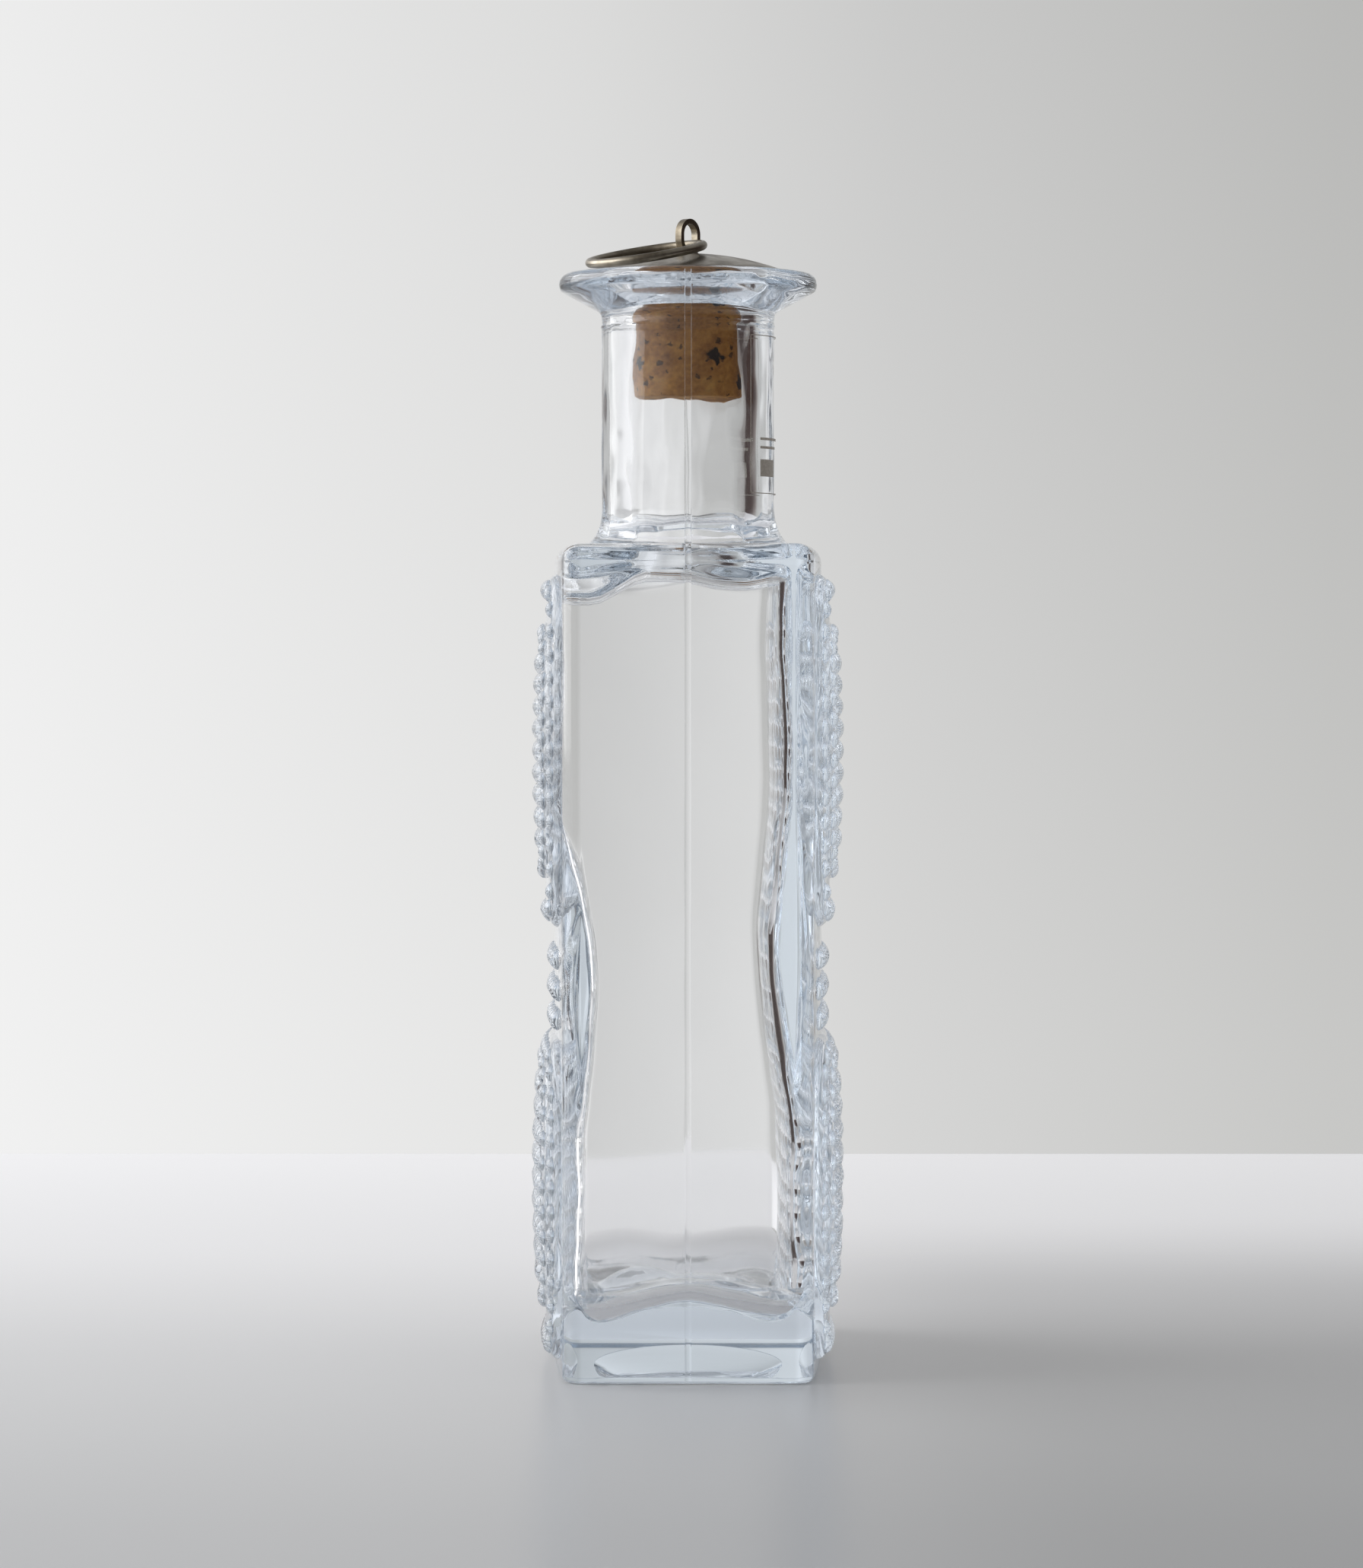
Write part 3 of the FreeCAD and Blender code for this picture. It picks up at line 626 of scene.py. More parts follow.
# %% Unite the relief with the glass
PEARL_INSET = 3.4 * MM
(low_foot, low_top), (high_foot, high_top) = MEDALLIONS
bumps = [
    (dome(3.6 * MM, 1.5 * MM), field(low_foot, low_top, 6.3 * MM, 8.6 * MM), 0.07),
    (dome(3.3 * MM, 1.45 * MM), field(high_foot, high_top, 5.9 * MM, 8.2 * MM), 0.07),
    (dome(2.2 * MM, 1.25 * MM), border(low_foot, low_top, PEARL_INSET, 5.6 * MM), 0.04),
    (dome(2.2 * MM, 1.25 * MM), border(high_foot, high_top, PEARL_INSET, 4.7 * MM), 0.04),
    (dome(2.6 * MM, 1.9 * MM), waist(), 0.05),
    (dome(2.3 * MM, 1.3 * MM), border_of_plinth(*PLINTHS[0], 5.4 * MM), 0.06),
    (dome(2.3 * MM, 1.3 * MM), border_of_plinth(*PLINTHS[1], 5.4 * MM), 0.06),
]
for pattern, places, unevenness in bumps:
    print(2 * len(places), "domes")
    merge(glass, scatter(pattern, places, unevenness), "UNION")
print("with relief", len(glass.data.vertices), "vertices")

# %% [markdown]
# ## Mould seam
# The halves of the mould left a fine ridge down each narrow face, over the shoulder and up the neck.
# Insetting a strip of faces would need an edge loop there. So a thin slab, a little larger than the
# bottle's outline, is drawn as a filled curve and united with the glass.

# %% A slab of any outline
SEAM_PROUD = 0.22 * MM
BODY_SEAM = 0.05 * MM
SEAM_WIDTH = 1.6 * MM


def slab(name, outline, width):
    """A slab of this outline in the YZ plane, centred on it."""
    curve = bpy.data.curves.new(name, "CURVE")
    curve.dimensions = "2D"
    curve.fill_mode = "BOTH"
    curve.extrude = width / 2 - SEAM_PROUD
    curve.bevel_depth = SEAM_PROUD
    curve.bevel_resolution = 2
    curve.offset = -SEAM_PROUD
    spline = curve.splines.new("POLY")
    spline.points.add(len(outline) - 1)
    for point, (y, z) in zip(spline.points, outline):
        point.co = (y, z, 0, 1)
    spline.use_cyclic_u = True
    obj = bpy.data.objects.new(name, curve)
    add_to_scene(obj)
    only(obj)
    bpy.ops.object.convert(target="MESH")
    obj = bpy.context.object
    obj.rotation_euler = (math.pi / 2, 0, math.pi / 2)
    start(name)
    select_everything()
    bpy.ops.mesh.remove_doubles(threshold=1e-6)
    turn_outwards()
    return done(obj)


# %% Seam
def seam():
    half_depth = BODY_DEPTH / 2
    middle = (half_depth - SHOULDER_ROUND, SHOULDER - SHOULDER_ROUND)
    shoulder = arc(middle, SHOULDER_ROUND + BODY_SEAM, 0, 90, 6)
    # the last points of the neck's outline lie on top of the lip, where there is no seam
    side = [(half_depth + BODY_SEAM, FOOT_ROUND)] + shoulder + neck_profile(SEAM_PROUD)[:-4]
    outline = side + [(-y, z) for y, z in reversed(side)]
    return slab("seam", outline, SEAM_WIDTH)


merge(glass, seam(), "UNION")
print("with seam", len(glass.data.vertices), "vertices")

# %% [markdown]
# ## The space inside
# The bottle was blown into its mould, so the outside is crisp and the inside is not. Its walls draw
# in at the waist and wander a little, the ceiling sags, and the thick floor rises in the middle.
# Offsetting the outside would copy its crispness. So a rounded box is sliced finely, shaped with
# proportional editing, and rippled like the outside.

# %% Sizes of the inside
BORE_RADIUS = 13.4 * MM
DISH_FOOT = LIP_TOP - 4.0 * MM
FLOOR = 14.4 * MM
CEILING = SHOULDER - 6.5 * MM
END_WALL = 4.0 * MM
INNER_ROUND = 5.2 * MM
VAULT = 2.8 * MM
FLOOR_ROUND = 7.0 * MM
FLOOR_SWELL = 4.4 * MM
CEILING_ROUND = 2.0 * MM
WAIST_HEIGHT = 93 * MM
WAIST_DRAW = 0.845
CHEST = 125 * MM
CHEST_SHIFT = -2.2 * MM

# %% Sags of the ceiling and swirls of the floor
# each row: x and y of its middle, how far it goes up or down, how far round it reaches, in mm
SAGS = (
    (-24, -48, 5.5, 13), (12, -50, 1.8, 14), (21, 10, 2.5, 16), (-12, 46, 2.5, 16), (14, 47, 1.5, 12),
)
SWIRLS = (
    (-11, 47, 4.0, 19), (13, 47, 5.4, 20), (0, -46, 3.4, 20), (-20, -40, -1.6, 9),
    (19, -36, -1.8, 9), (-17, 32, 1.8, 7), (-7, 21, -2.4, 7), (2, 35, 1.6, 6),
    (15, 25, 2.6, 8), (19, 8, -2.0, 8), (-12, 2, 2.4, 9), (3, -6, -2.2, 8),
    (-17, -18, -1.8, 8), (10, -18, 1.8, 7),
)


def in_metres(rows):
    return [[value * MM for value in row] for row in rows]


# %% Cavity
def scale_x(ratio, reach):
    """Draws the selection in or out along X, and what is near along with it."""
    bpy.ops.transform.resize(
        value=(ratio, 1, 1), center_override=(0, 0, 0), use_proportional_edit=True,
        proportional_edit_falloff="SMOOTH", proportional_size=reach,
    )


def in_middle(corner, height, room):
    """True near the middle of the floor or the ceiling, in an oval twice as long along Y."""
    return same(corner.z, height, 1e-5) and math.hypot(corner.x, corner.y / 2) < room


def is_upright(corners):
    low, high = sorted(corner.z for corner in corners)
    return not same(low, high) and high > 150 * MM


def cavity():
    half = BODY_WIDTH / 2 - 2.9 * MM
    half_depth = BODY_DEPTH / 2 - END_WALL
    size = (2 * half, 2 * half_depth, CEILING - FLOOR)
    bpy.ops.mesh.primitive_cube_add(size=1, location=(0, 0, (FLOOR + CEILING) / 2), scale=size)
    obj = start("cavity")
    pick(obj, "edges", lambda c: level(c, FLOOR))
    round_edges(FLOOR_ROUND, 7)
    for side, round_off in ((1, INNER_ROUND), (-1, 0.3 * INNER_ROUND)):
        pick(obj, "edges", lambda c: is_upright(c) and side * c[0].x > 20 * MM)
        round_edges(round_off, 5)
    pick(obj, "edges", lambda c: level(c, CEILING))
    round_edges(CEILING_ROUND, 4)
    slice_up(obj, (1, 0, 0), cuts(-half, half, 2.6 * MM))
    slice_up(obj, (0, 1, 0), cuts(-half_depth, half_depth, 3.0 * MM))
    slice_up(obj, (0, 0, 1), cuts(FLOOR, CEILING, 2.4 * MM))
    pick(obj, "verts", lambda c: abs(c[0].z - WAIST_HEIGHT) < 1.3 * MM)
    scale_x(WAIST_DRAW, 42 * MM)
    pick(obj, "verts", lambda c: in_middle(c[0], FLOOR, 3 * MM))
    swell((0, 0, FLOOR_SWELL), 34 * MM, "SMOOTH")
    for x, y, rise, reach in in_metres(SWIRLS):
        pick(obj, "verts", lambda c: c[0].z < 26 * MM and close_to(c[0], x, y, 2.4 * MM))
        swell((0, 0, rise), reach, "SMOOTH")
    pick(obj, "verts", lambda c: c[0].z > CHEST)
    swell((CHEST_SHIFT, 0, 0), 60 * MM, "SMOOTH")
    pick(obj, "verts", lambda c: in_middle(c[0], CEILING, 14 * MM))
    swell((0, 0, VAULT), 24 * MM, "SMOOTH")
    for x, y, drop, reach in in_metres(SAGS):
        pick(obj, "verts", lambda c: c[0].z > CEILING - 3 * MM and close_to(c[0], x, y, 3 * MM))
        swell((0, 0, -drop), reach, "SMOOTH")
    done(obj)
    ripple(obj, "wall_wander", 16 * MM, 1.6 * MM, "X")
    ripple(obj, "end_wander", 30 * MM, 0.2 * MM, "Y")
    ripple(obj, "floor_wander", 12 * MM, 1.4 * MM, "Z")
    return obj


# %% [markdown]
# ## Bore and foot
# The bore takes the cork, and opens into a dish at the top of the lip. The foot is hollow, so that
# the bottle stands on its rim. Extruding them into the glass would need edges that the body doesn't
# have, so a turned piece and a flattened sphere cut them out.

# %% Bore and foot
BORE_SWEEP = 3.0 * MM
FOOT_RIM = 7 * MM
FOOT_RISE = 2.4 * MM


def under_dish(place):
    return place.z < DISH_FOOT - 1 * MM


def bore():
    foot = CEILING + VAULT
    profile = [(BORE_RADIUS + BORE_SWEEP, CEILING - 3 * MM)]
    profile += arc((BORE_RADIUS + BORE_SWEEP, foot + BORE_SWEEP), BORE_SWEEP, 270, 180, 6)
    profile += [(BORE_RADIUS, z) for z in cuts(foot + BORE_SWEEP, DISH_FOOT, 2 * MM)]
    profile += [(BORE_RADIUS, DISH_FOOT), (LIP_RADIUS - LIP_EDGE - 1 * MM, LIP_TOP)]
    profile += [(LIP_RADIUS - LIP_EDGE, LIP_TOP + 1 * MM)]
    obj = turned("bore", profile, 96)
    ripple(obj, "bore_ripple", 9 * MM, 0.5 * MM, where=under_dish)
    ripple(obj, "bore_streaks", 4.5 * MM, 0.4 * MM, stretch=7, where=under_dish)
    return obj


def foot_hollow():
    """The shallow dome under the foot, which leaves a rim to stand on."""
    size = (BODY_WIDTH / 2 - FOOT_RIM, BODY_DEPTH / 2 - FOOT_RIM, FOOT_RISE)
    bpy.ops.mesh.primitive_uv_sphere_add(
        segments=64, ring_count=48, radius=1, location=(0, 0, 0), scale=size
    )
    return done(start("foot_hollow"))


# %% Cut out the inside
merge(glass, cavity(), "DIFFERENCE")
merge(glass, bore(), "DIFFERENCE")
merge(glass, foot_hollow(), "DIFFERENCE")
smooth(glass, 38)
measured = bmesh.new()
measured.from_mesh(glass.data)
glass.data.calc_loop_triangles()
print("glass", len(glass.data.loop_triangles), "triangles")
print("open edges", sum(not edge.is_manifold for edge in measured.edges))
print("volume", round(measured.calc_volume() * 1e6, 1), "cm3")
measured.free()
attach(glass, BODY)
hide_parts("bottle")

# %% [markdown]
# ## Materials from nodes
# A material can be wired by hand in the shader editor. In a script the same nodes are added by name,
# and a value is either set on a socket or linked to it. These helpers do that, so that each finish
# below reads as a list of its own values.

# %% Add nodes
def material(name):
    """A material with an empty node tree."""
    made = bpy.data.materials.new(name)
    made.use_nodes = True
    made.node_tree.nodes.clear()
    return made, made.node_tree


def node(tree, kind, inputs=None, **settings):
    """Adds a shader node, sets its properties, and gives each named input a number or a link."""
    made = tree.nodes.new("ShaderNode" + kind)
    for key, value in settings.items():
        setattr(made, key, value)
    for key, value in (inputs or {}).items():
        if isinstance(value, bpy.types.NodeSocket):
            tree.links.new(value, made.inputs[key])
        else:
            made.inputs[key].default_value = value
    return made


def ramp(tree, value, stops):
    """A colour for each value, blended between (place, colour) stops."""
    made = node(tree, "ValToRGB", {"Fac": value})
    ramp_stops = made.color_ramp.elements
    while len(ramp_stops) < len(stops):
        ramp_stops.new(1.0)
    for stop, (place, colour) in zip(ramp_stops, stops):
        stop.position = place
        stop.color = (*colour, 1)
    return made.outputs["Color"]


def principled(tree, look):
    """A surface with this look, wired to the material's output."""
    surface = node(tree, "BsdfPrincipled", look)
    node(tree, "OutputMaterial", {"Surface": surface.outputs[0]})


def dress(obj, finish):
    obj.data.materials.clear()
    obj.data.materials.append(finish)


# %% [markdown]
# ## Clear glass
# Soda glass is clear where it is thin and a cool blue where one looks along it. Tinting the surface
# would colour thin and thick parts alike, so the surface stays white and the volume absorbs: red
# most, blue least. A trace of roughness stands for the fine texture that the mould leaves.

# %% Clear glass
def clear_glass():
    made, tree = material("clear_glass")
    look = {"Base Color": (1, 1, 1, 1), "Roughness": 0.04, "IOR": 1.5, "Transmission Weight": 1.0}
    surface = node(tree, "BsdfPrincipled", look)
    blue = {"Color": (0.45, 0.70, 0.93, 1), "Density": 3.3}
    depth = node(tree, "VolumeAbsorption", blue)
    both = {"Surface": surface.outputs[0], "Volume": depth.outputs[0]}
    node(tree, "OutputMaterial", both)
    return made


dress(glass, clear_glass())
print("glass material", [slot.name for slot in glass.data.materials])

# %% [markdown]
# ## Cork
# Cork is tan with darker and lighter patches, a fine grain, and small and large pits where the bark
# breathed. A picture of cork would do, but a noise for the patches, a finer one for the grain and
# cells for the pits need no file. Only some cells hold a pit, so the pits don't lie in rows.

# %% Noise and sums
def noise(tree, place, scale, detail, roughness):
    look = {"Vector": place, "Scale": scale, "Detail": detail, "Roughness": roughness}
    return node(tree, "TexNoise", look).outputs["Fac"]


def maths(tree, operation, first, second=0.0, third=0.0):
    values = {0: first, 1: second, 2: third}
    return node(tree, "Math", values, operation=operation).outputs[0]


def mixed(tree, factor, first, second):
    colours = {0: factor, 6: first, 7: second}
    return node(tree, "Mix", colours, data_type="RGBA").outputs[2]


def scaled(tree, vector, factor):
    parts = {0: vector, 3: factor}
    return node(tree, "VectorMath", parts, operation="SCALE").outputs[0]


def fade(tree, value, first, last, low=0.0, high=1.0, curve="LINEAR"):
    """Low up to the first place, high past the last one, and even or soft between."""
    limits = {"Value": value, "From Min": first, "From Max": last, "To Min": low, "To Max": high}
    return node(tree, "MapRange", limits, interpolation_type=curve).outputs["Result"]


# %% Pits
def pits(tree, place, scale, share, reach):
    """One where a cell of this scale holds a pit, zero elsewhere; only some cells hold one."""
    bent = node(tree, "TexNoise", {"Vector": place, "Scale": scale * 2.5, "Detail": 2.0})
    halves = {0: bent.outputs["Color"], 1: (0.5, 0.5, 0.5)}
    wander = node(tree, "VectorMath", halves, operation="SUBTRACT").outputs[0]
    ends = {0: place, 1: scaled(tree, wander, 0.9 / scale)}
    shifted = node(tree, "VectorMath", ends, operation="ADD").outputs[0]
    cells = node(tree, "TexVoronoi", {"Vector": shifted, "Scale": scale})
    chance = node(tree, "SeparateColor", {"Color": cells.outputs["Color"]})
    chosen = maths(tree, "LESS_THAN", chance.outputs["Red"], share)
    size = maths(tree, "MULTIPLY_ADD", chance.outputs["Green"], reach * 0.6, reach * 0.5)
    beyond = maths(tree, "SUBTRACT", cells.outputs["Distance"], size)
    return maths(tree, "MULTIPLY", fade(tree, beyond, 0.05, -0.05), chosen)


# %% Finish of the cork
CORK_PATCHES = (
    (0.32, (0.27, 0.088, 0.013)), (0.46, (0.48, 0.18, 0.030)),
    (0.58, (0.70, 0.31, 0.062)), (0.70, (0.90, 0.50, 0.125)),
)
CORK_GRAIN = ((0.3, (0.19, 0.065, 0.013)), (0.7, (0.88, 0.47, 0.12)))
CORK_PIT = (0.020, 0.011, 0.006, 1)


def cork_finish():
    made, tree = material("cork_grain")
    place = node(tree, "TexCoord").outputs["Object"]
    patches = noise(tree, place, 140, 3.0, 0.6)
    grain = noise(tree, place, 900, 4.0, 0.65)
    warm = ramp(tree, patches, CORK_PATCHES)
    grainy = mixed(tree, 0.35, warm, ramp(tree, grain, CORK_GRAIN))
    large = pits(tree, place, 190, 0.30, 0.34)
    small = pits(tree, place, 480, 0.30, 0.36)
    holes = maths(tree, "MAXIMUM", large, maths(tree, "MULTIPLY", small, 0.75))
    colour = mixed(tree, holes, grainy, CORK_PIT)
    height = maths(tree, "SUBTRACT", maths(tree, "MULTIPLY", grain, 0.25), holes)
    bump = node(tree, "Bump", {"Strength": 0.6, "Distance": 0.5 * MM, "Height": height})
    look = {"Base Color": colour, "Roughness": 0.75, "Normal": bump.outputs[0]}
    principled(tree, look)
    return made


# %% [markdown]
# ## The plug
# The plug is turned, a little narrower at its foot, with its edge rubbed round. A plain cylinder
# would look machined. It is a tenth of a millimetre narrower than the bore, because two surfaces in
# one place flicker, and its lumps only go inwards, so that it never comes through the glass.

# %% Cork
CORK_FOOT = LIP_TOP - 29.6 * MM
CORK_SOFT = 0.8 * MM


def cork_body():
    foot_radius = BORE_RADIUS - 0.7 * MM
    top_radius = BORE_RADIUS - 0.1 * MM
    profile = [(0.6 * foot_radius, CORK_FOOT)]
    profile += arc((foot_radius - CORK_SOFT, CORK_FOOT + CORK_SOFT), CORK_SOFT, -90, 0, 4)
    for height in cuts(CORK_FOOT + CORK_SOFT, LIP_TOP, 1.2 * MM):
        part = (height - CORK_FOOT) / (LIP_TOP - CORK_FOOT)
        profile.append((foot_radius + (top_radius - foot_radius) * part, height))
    profile.append((top_radius, LIP_TOP))
    obj = turned("cork_body", profile, 96)
    ripple(obj, "cork_lumps", 3.0 * MM, 0.5 * MM, middle=1.0)
    return obj


cork = cork_body()
smooth(cork, 50)
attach(cork, BODY)
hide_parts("cork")
dress(cork, cork_finish())
print("cork", [round(side / MM, 2) for side in cork.dimensions])

# %% [markdown]
# ## Printed label
# A frame and a few plain bars are printed on one side of the neck, in a worn grey brown. In the
# glass's own material this would need a mask. A real print is a thin skin of enamel, so it is made
# as one: pieces of the neck's round, cut from a cylinder and given a thickness.

# %% A strip round the neck
PRINT_PROUD = 0.36 * MM
PRINT_THICK = 0.06 * MM


def strip(first, last, foot, top):
    """A thin piece of the neck's round, between two turns about Z in degrees and two heights."""
    bpy.ops.mesh.primitive_cylinder_add(
        vertices=720, radius=NECK_RADIUS + PRINT_PROUD, depth=top - foot,
        end_fill_type="NOTHING", location=(0, 0, (foot + top) / 2),
    )
    obj = start("strip")

    def outside(corners):
        middle = sum(corners, Vector()) / len(corners)
        return not first < math.degrees(math.atan2(middle.y, middle.x)) < last

    pick(obj, "faces", outside)
    bpy.ops.mesh.delete(type="FACE")
    done(obj)
    modify(obj, "SOLIDIFY", thickness=PRINT_THICK, offset=0.0)
    return obj


# %% Label
def label():
    """A thin frame with a block and two bars in it; left and right are turns in degrees."""
    low, high, left, right = 203 * MM, 240 * MM, -45.0, 12.0
    line = 0.2 * MM
    turn = 0.6
    parts = [
        strip(left, right, low, low + line),
        strip(left, right, high - line, high),
        strip(left, left + turn, low, high),
        strip(right - turn, right, low, high),
        strip(left + 10, right - 26, low + 4 * MM, low + 8 * MM),
        strip(left + 10, right - 22, low + 10.5 * MM, low + 11.1 * MM),
        strip(left + 10, right - 14, low + 12.5 * MM, low + 13.1 * MM),
    ]
    return joined(parts)


def label_finish():
    made, tree = material("label_print")
    place = node(tree, "TexCoord").outputs["Object"]
    worn = noise(tree, place, 1500, 3.0, 0.6)
    colour = ramp(tree, worn, [(0.35, (0.66, 0.61, 0.52)), (0.65, (0.84, 0.79, 0.70))])
    principled(tree, {"Base Color": colour, "Roughness": 0.4})
    return made


label_sheet = label()
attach(label_sheet, BODY)
dress(label_sheet, label_finish())
print("label", len(label_sheet.data.polygons), "faces")

# %% [markdown]
# ## Aged metal
# The cap, the eye and the ring are plated brass that has dulled: dark where the patina holds, bright
# where hands rub it, and finely scratched. A single grey metal looks new. So soft noises mix a dark
# and a light tint, the same patches set the roughness, and the scratches are a stretched bump.

# %% Finish of the metal
def metal_finish(name, dark, light, stretch):
    made, tree = material(name)
    place = node(tree, "TexCoord").outputs["Object"]
    cloudy = noise(tree, place, 130, 4.0, 0.6)
    drawn_out = node(tree, "Mapping", {"Vector": place, "Scale": stretch}).outputs[0]
    scratch = noise(tree, drawn_out, 900, 3.0, 0.6)
    patina = ramp(tree, cloudy, [(0.34, dark), (0.62, light)])
    worn = mixed(tree, maths(tree, "MULTIPLY", scratch, 0.35), patina, (*light, 1))
    rough = fade(tree, cloudy, 0.3, 0.7, 0.42, 0.26)
    relief = {"Strength": 0.25, "Distance": 0.05 * MM, "Height": scratch}
    bump = node(tree, "Bump", relief).outputs[0]
    look = {"Base Color": worn, "Roughness": rough, "Metallic": 1.0, "Normal": bump}
    principled(tree, look)
    return made


# %% [markdown]
# ## Cap
# The cap was spun from sheet: a shallow dome with its edge turned down, and a small seat for the eye.
# A flattened sphere would bulge too much at its edge. The dome is an arc of a large ball, turned
# like the neck.

# %% Cap
def cap_dome():
    """The spun metal cap: a shallow dome with a turned-down edge, and the seat on it."""
    radius, crown, seat = 23.2 * MM, 4.25 * MM, 2.4 * MM
    soft = 0.1 * MM
    foot = LIP_TOP + 0.45 * MM
    ball = (radius**2 + crown**2) / (2 * crown)
    half = math.degrees(math.asin(radius / ball))
    seat_top = foot + crown + 0.5 * MM
    profile = [(0.5 * radius, LIP_TOP), (radius - soft, LIP_TOP)]
    profile += [(radius, LIP_TOP + soft), (radius, foot)]
    profile += arc((0, foot + crown - ball), ball, 90 - half + 1, 87.4, 16)
    profile += [(seat + soft, seat_top - 0.45 * MM), (seat, seat_top - soft)]
    profile += [(seat - soft, seat_top), (0.4 * seat, seat_top)]
    return turned("cap_dome", profile, 160)


cap = cap_dome()
smooth(cap, 30)
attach(cap, BODY)
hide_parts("cap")
dress(cap, metal_finish("cap_metal", (0.14, 0.115, 0.090), (0.44, 0.41, 0.355), (1, 1, 6)))
print("cap", [round(side / MM, 2) for side in cap.dimensions])

# %% [markdown]
# ## Eye and ring
# The eye is a bent strip and the ring bent wire. The CAD solids already have that shape, so they are
# kept and only get their finish. Modelling them again would gain nothing.

# %% Eye and ring
WIRE_METALS = {
    "eye": ((0.11, 0.088, 0.060), (0.36, 0.32, 0.25)),
    "ring": ((0.10, 0.080, 0.055), (0.33, 0.295, 0.235)),
}
for piece, (dark, light) in WIRE_METALS.items():
    dress(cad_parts[piece], metal_finish(piece + "_metal", dark, light, (1, 1, 3)))
    print(piece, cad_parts[piece].data.materials[0].name)

# %% [markdown]
# ## Table
# The bottle stands on a pale table that ends well behind it. A plane does as well as a box, because
# nobody sees its edge. It lies a hair below the foot, since two faces in one place show black.

# %% Table
TABLE_WIDTH = 5
TABLE_DEPTH = 3
TABLE_EDGE = 0.54
TABLE_DROP = 0.15 * MM

bpy.ops.mesh.primitive_plane_add(size=1, location=(0, TABLE_EDGE - TABLE_DEPTH / 2, -TABLE_DROP))
table = start("table")
select_everything()
bpy.ops.transform.resize(value=(TABLE_WIDTH, TABLE_DEPTH, 1))
done(table)
print("table", [round(side, 2) for side in table.dimensions])

# %% [markdown]
# ## Finish of the table
# The table is a satin lacquer. Its colour holds a painted light falloff, paler towards the wall, and
# a painted shadow in the bottle's lee. More light would lift it, but would also wash out the bottle.
# So the light and shade are painted into its colour, and a painted glow, brighter towards the wall,
# shines only for the camera and through the glass. Under the bottle and in its lee that glow stands
# for the light which glass gathers, and which a path tracer is slow to find.

# %% Finish of the table
# painted light falloff of the table's colour, from near the camera (0) to the wall (1)
TABLE_PAINTED_FALLOFF = (
    (0.0, (0.64, 0.65, 0.66)), (0.25, (0.76, 0.77, 0.78)),
    (0.6, (0.88, 0.88, 0.90)), (1.0, (0.94, 0.94, 0.96)),
)
# painted glow of the table, from near the camera (0) to the wall (1)
TABLE_PAINTED_GLOW = (
    (0.10, (0, 0, 0)), (0.40, (0.06, 0.06, 0.06)),
    (0.65, (0.17, 0.17, 0.172)), (1.0, (0.23, 0.23, 0.235)),
)
UNDER_GLOW = (0.27, 0.27, 0.28, 1)
LEE_GLOW = (0.50, 0.50, 0.51, 1)


def reach(tree, value, first, last):
    """Zero up to one place, one past the other, with a soft step between."""
    return fade(tree, value, first, last, curve="SMOOTHSTEP")


def table_finish():
    made, tree = material("table_lacquer")
    place = node(tree, "TexCoord").outputs["Object"]
    split = node(tree, "SeparateXYZ", {"Vector": place})
    x, y = split.outputs["X"], split.outputs["Y"]
    depth = fade(tree, y, -0.35, TABLE_EDGE)
    # painted shadow in the bottle's lee: colour and glow are darkened to its right and towards the
    # camera
    shadow = maths(tree, "MULTIPLY", reach(tree, x, -0.03, 0.09), reach(tree, y, 0.34, 0.12))
    dim = maths(tree, "MULTIPLY_ADD", shadow, -0.29, 1.0)
    # the colour is the painted light falloff, darkened further by the painted shadow
    painted_shading = scaled(tree, ramp(tree, depth, TABLE_PAINTED_FALLOFF), dim)
    look = {"Base Color": painted_shading, "Roughness": 0.3, "IOR": 1.45}
    surface = node(tree, "BsdfPrincipled", look)
    # painted glow: the table shines brighter towards the wall, for the camera and through the glass
    painted_glow = ramp(tree, depth, TABLE_PAINTED_GLOW)
    ray = node(tree, "LightPath")
    through = ray.outputs["Is Transmission Ray"]
    seen = maths(tree, "MAXIMUM", ray.outputs["Is Camera Ray"], through)
    away = node(tree, "VectorMath", {0: place}, operation="LENGTH").outputs["Value"]
    lee = maths(tree, "MULTIPLY", reach(tree, away, 0.9, 0.3), reach(tree, x, 0.02, 0.07))
    spot = maths(tree, "MAXIMUM", reach(tree, away, 0.10, 0.05), lee)
    under = maths(tree, "MULTIPLY", spot, through)
    lit = mixed(tree, under, painted_glow, mixed(tree, lee, UNDER_GLOW, LEE_GLOW))
    shine = {"Color": lit, "Strength": maths(tree, "MULTIPLY", seen, dim)}
    glow = node(tree, "Emission", shine)
    both = node(tree, "AddShader", {0: surface.outputs[0], 1: glow.outputs[0]})
    node(tree, "OutputMaterial", {"Surface": both.outputs[0]})
    return made


dress(table, table_finish())
print("table finish", table.data.materials[0].name)

# %% [markdown]
# ## Room
# Clear glass has no look of its own: it shows the room. Cards built round the bottle would do. A
# ramp across the direction does the same in a few numbers: a pale wall behind the bottle, a window
# side on the left, and a dark corner on the right, which draws the dark lines down the inner edges.
# Only what is mirrored sees the window shine.

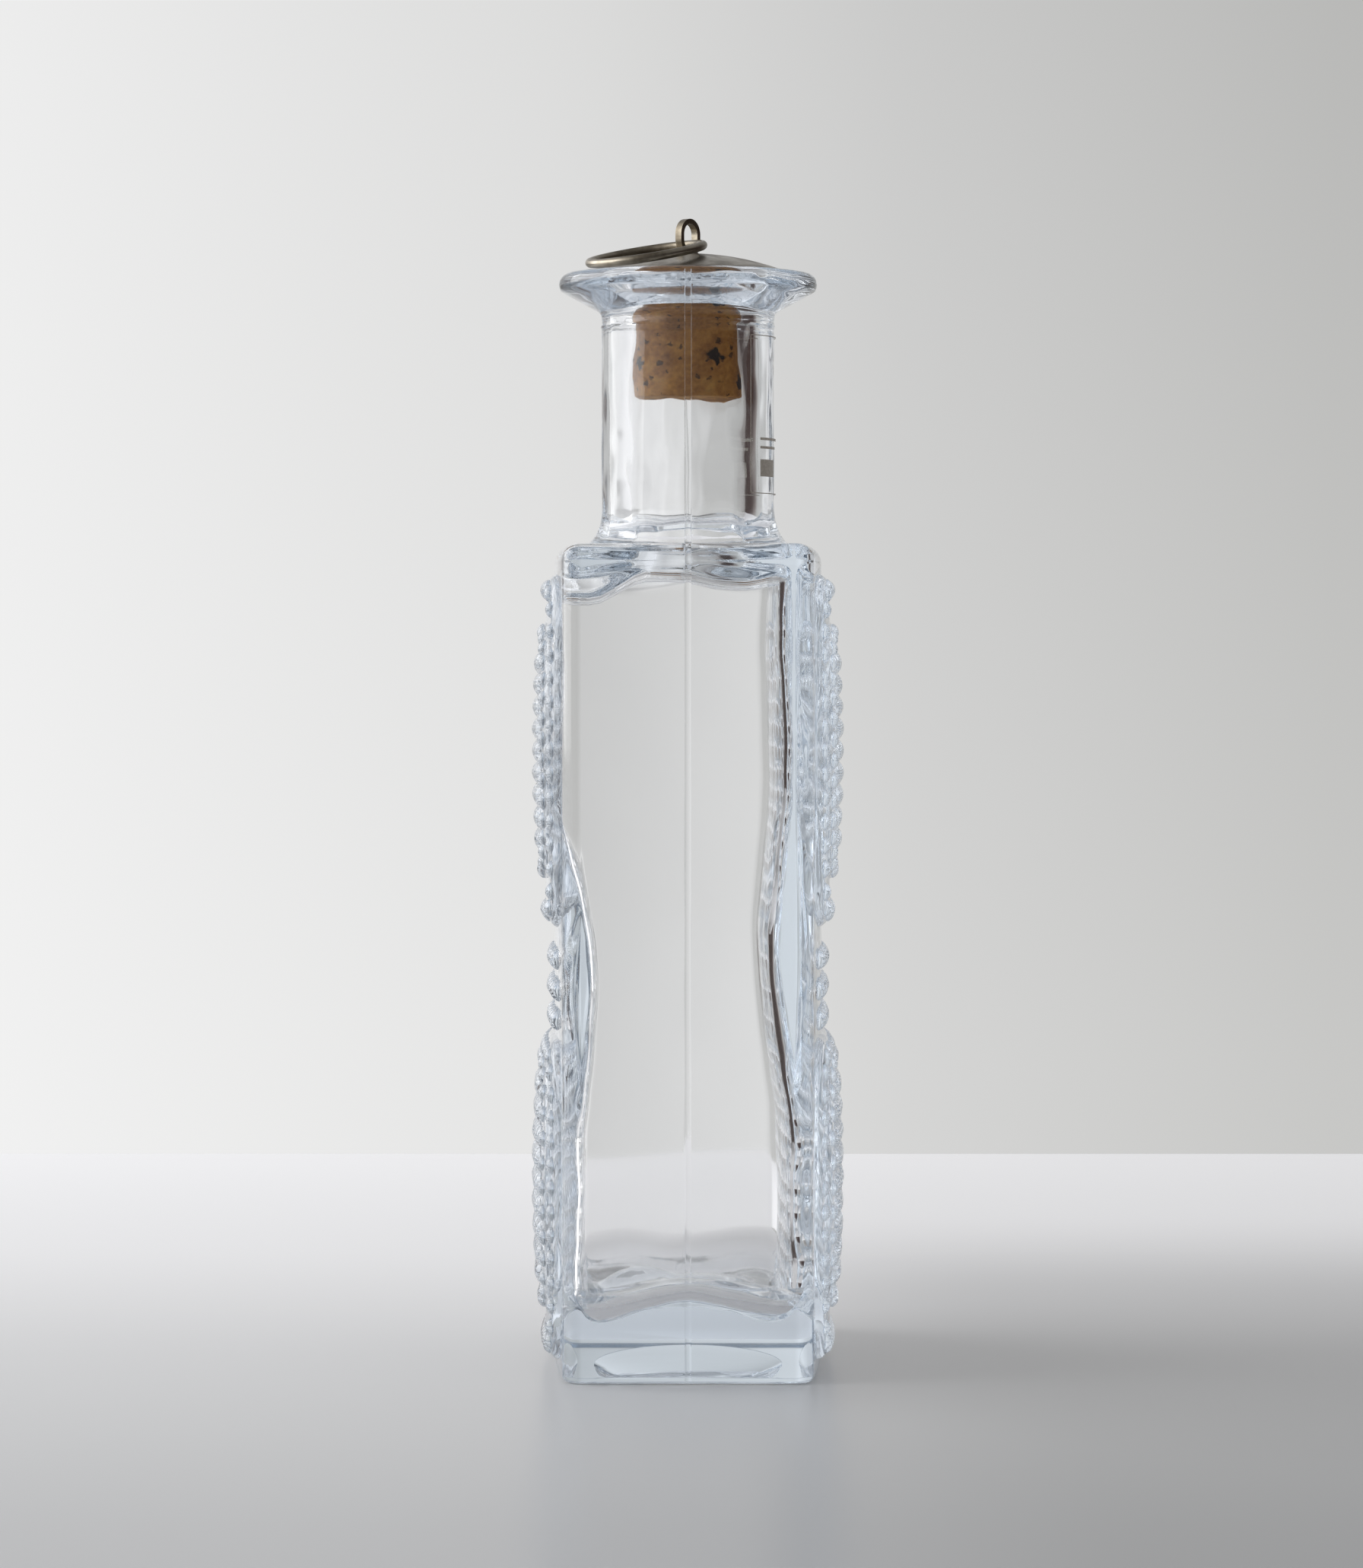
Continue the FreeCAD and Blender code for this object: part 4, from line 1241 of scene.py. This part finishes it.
# %% Tones of the room
# from the left (0) to the right (1)
WALL_TONES = (
    (0.0, (0.88, 0.88, 0.90)), (0.05, (0.82, 0.82, 0.83)),
    (0.15, (0.70, 0.70, 0.71)), (0.32, (0.68, 0.68, 0.68)),
    (0.43, (0.86, 0.86, 0.86)), (0.49, (0.75, 0.75, 0.745)),
    (0.52, (0.64, 0.64, 0.635)), (0.56, (0.55, 0.55, 0.54)),
    (0.66, (0.56, 0.56, 0.55)), (0.76, (0.48, 0.48, 0.47)),
    (0.85, (0.22, 0.19, 0.18)), (0.91, (0.06, 0.04, 0.038)),
    (1.0, (0.05, 0.035, 0.03)),
)
BEHIND_TONES = (
    (0.0, (0.88, 0.88, 0.90)), (0.1, (0.7, 0.7, 0.72)),
    (0.3, (0.38, 0.38, 0.38)), (0.5, (0.22, 0.22, 0.22)),
    (0.8, (0.14, 0.13, 0.13)), (0.95, (0.06, 0.04, 0.04)),
    (1.0, (0.05, 0.035, 0.03)),
)
CEILING_TONE = (0.42, 0.42, 0.43, 1)
SKIRTING_DIM = -0.42
WINDOW_GAIN = 2.0


# %% Room
def room():
    """The world: a pale wall in front, a dimmer room behind, and the window for reflections."""
    world = bpy.data.worlds.new("room")
    bpy.context.scene.world = world
    world.use_nodes = True
    tree = world.node_tree
    tree.nodes.clear()
    way = node(tree, "TexCoord").outputs["Generated"]
    split = node(tree, "SeparateXYZ", {"Vector": way})
    x, y, z = (split.outputs[axis] for axis in "XYZ")
    across = fade(tree, x, -1.0, 1.0)
    wall = ramp(tree, across, WALL_TONES)
    behind = ramp(tree, across, BEHIND_TONES)
    sides = mixed(tree, fade(tree, y, -0.15, 0.15), behind, wall)
    full = mixed(tree, fade(tree, z, 0.3, 0.8), sides, CEILING_TONE)
    fall = fade(tree, x, -0.12, 0.12, 0.04, 0.16)
    shade = maths(tree, "MULTIPLY", fade(tree, z, -0.07, 0.12), fall)
    plain = maths(tree, "SUBTRACT", 1.04, shade)
    skirting = maths(tree, "MULTIPLY", reach(tree, across, 0.41, 0.33), reach(tree, z, 0.02, -0.03))
    dim = maths(tree, "MULTIPLY_ADD", skirting, SKIRTING_DIM, 1.0)
    strength = maths(tree, "MULTIPLY", plain, dim)
    ray = node(tree, "LightPath")
    # light that passes through rough glass counts as glossy too, so it is taken off
    through = ray.outputs["Is Transmission Ray"]
    mirrored = maths(tree, "SUBTRACT", ray.outputs["Is Glossy Ray"], through)
    beside = maths(tree, "MULTIPLY", reach(tree, x, -0.3, -0.7), mirrored)
    pane = maths(tree, "MULTIPLY", reach(tree, z, 0.12, 0.28), beside)
    gain = maths(tree, "MULTIPLY_ADD", pane, WINDOW_GAIN, 1.0)
    glow = maths(tree, "MULTIPLY", strength, gain)
    light = node(tree, "Background", {"Color": full, "Strength": glow})
    node(tree, "OutputWorld", {"Surface": light.outputs[0]})


room()
print("world", bpy.context.scene.world.name)

# %% [markdown]
# ## Window light
# One large lamp stands for the window, on the left and a little behind, so that the shadow falls to
# the right and is soft. A sun lamp would give the glass no broad highlight. What is mirrored shows
# the lamp; the camera, and what one sees through the glass, don't.

# %% Window light
WINDOW_PLACE = Vector((-3.2, 0.45, 1.3))
WINDOW_AIM = Vector((0, 0.05, 0.1))

pane = bpy.data.lights.new("window", "AREA")
pane.shape = "RECTANGLE"
pane.size, pane.size_y = 4.4, 2.6
pane.energy = 76
window = bpy.data.objects.new("window", pane)
add_to_scene(window)
window.location = WINDOW_PLACE
window.rotation_euler = (WINDOW_AIM - WINDOW_PLACE).to_track_quat("-Z", "Y").to_euler()
window.visible_camera = False
window.visible_transmission = False
print("window", [round(value, 2) for value in window.location])

# %% [markdown]
# ## How far light is followed
# A ray passes the outside and the inside of the bottle, in front and behind, and turns back and
# forth in the relief. With few bounces it dies in there and the glass goes black.

# %% Bounces and view
scene = bpy.context.scene
scene.view_settings.view_transform = "Standard"
scene.cycles.max_bounces = 32
scene.cycles.transmission_bounces = 24
scene.cycles.glossy_bounces = 16
print("bounces", scene.cycles.max_bounces)
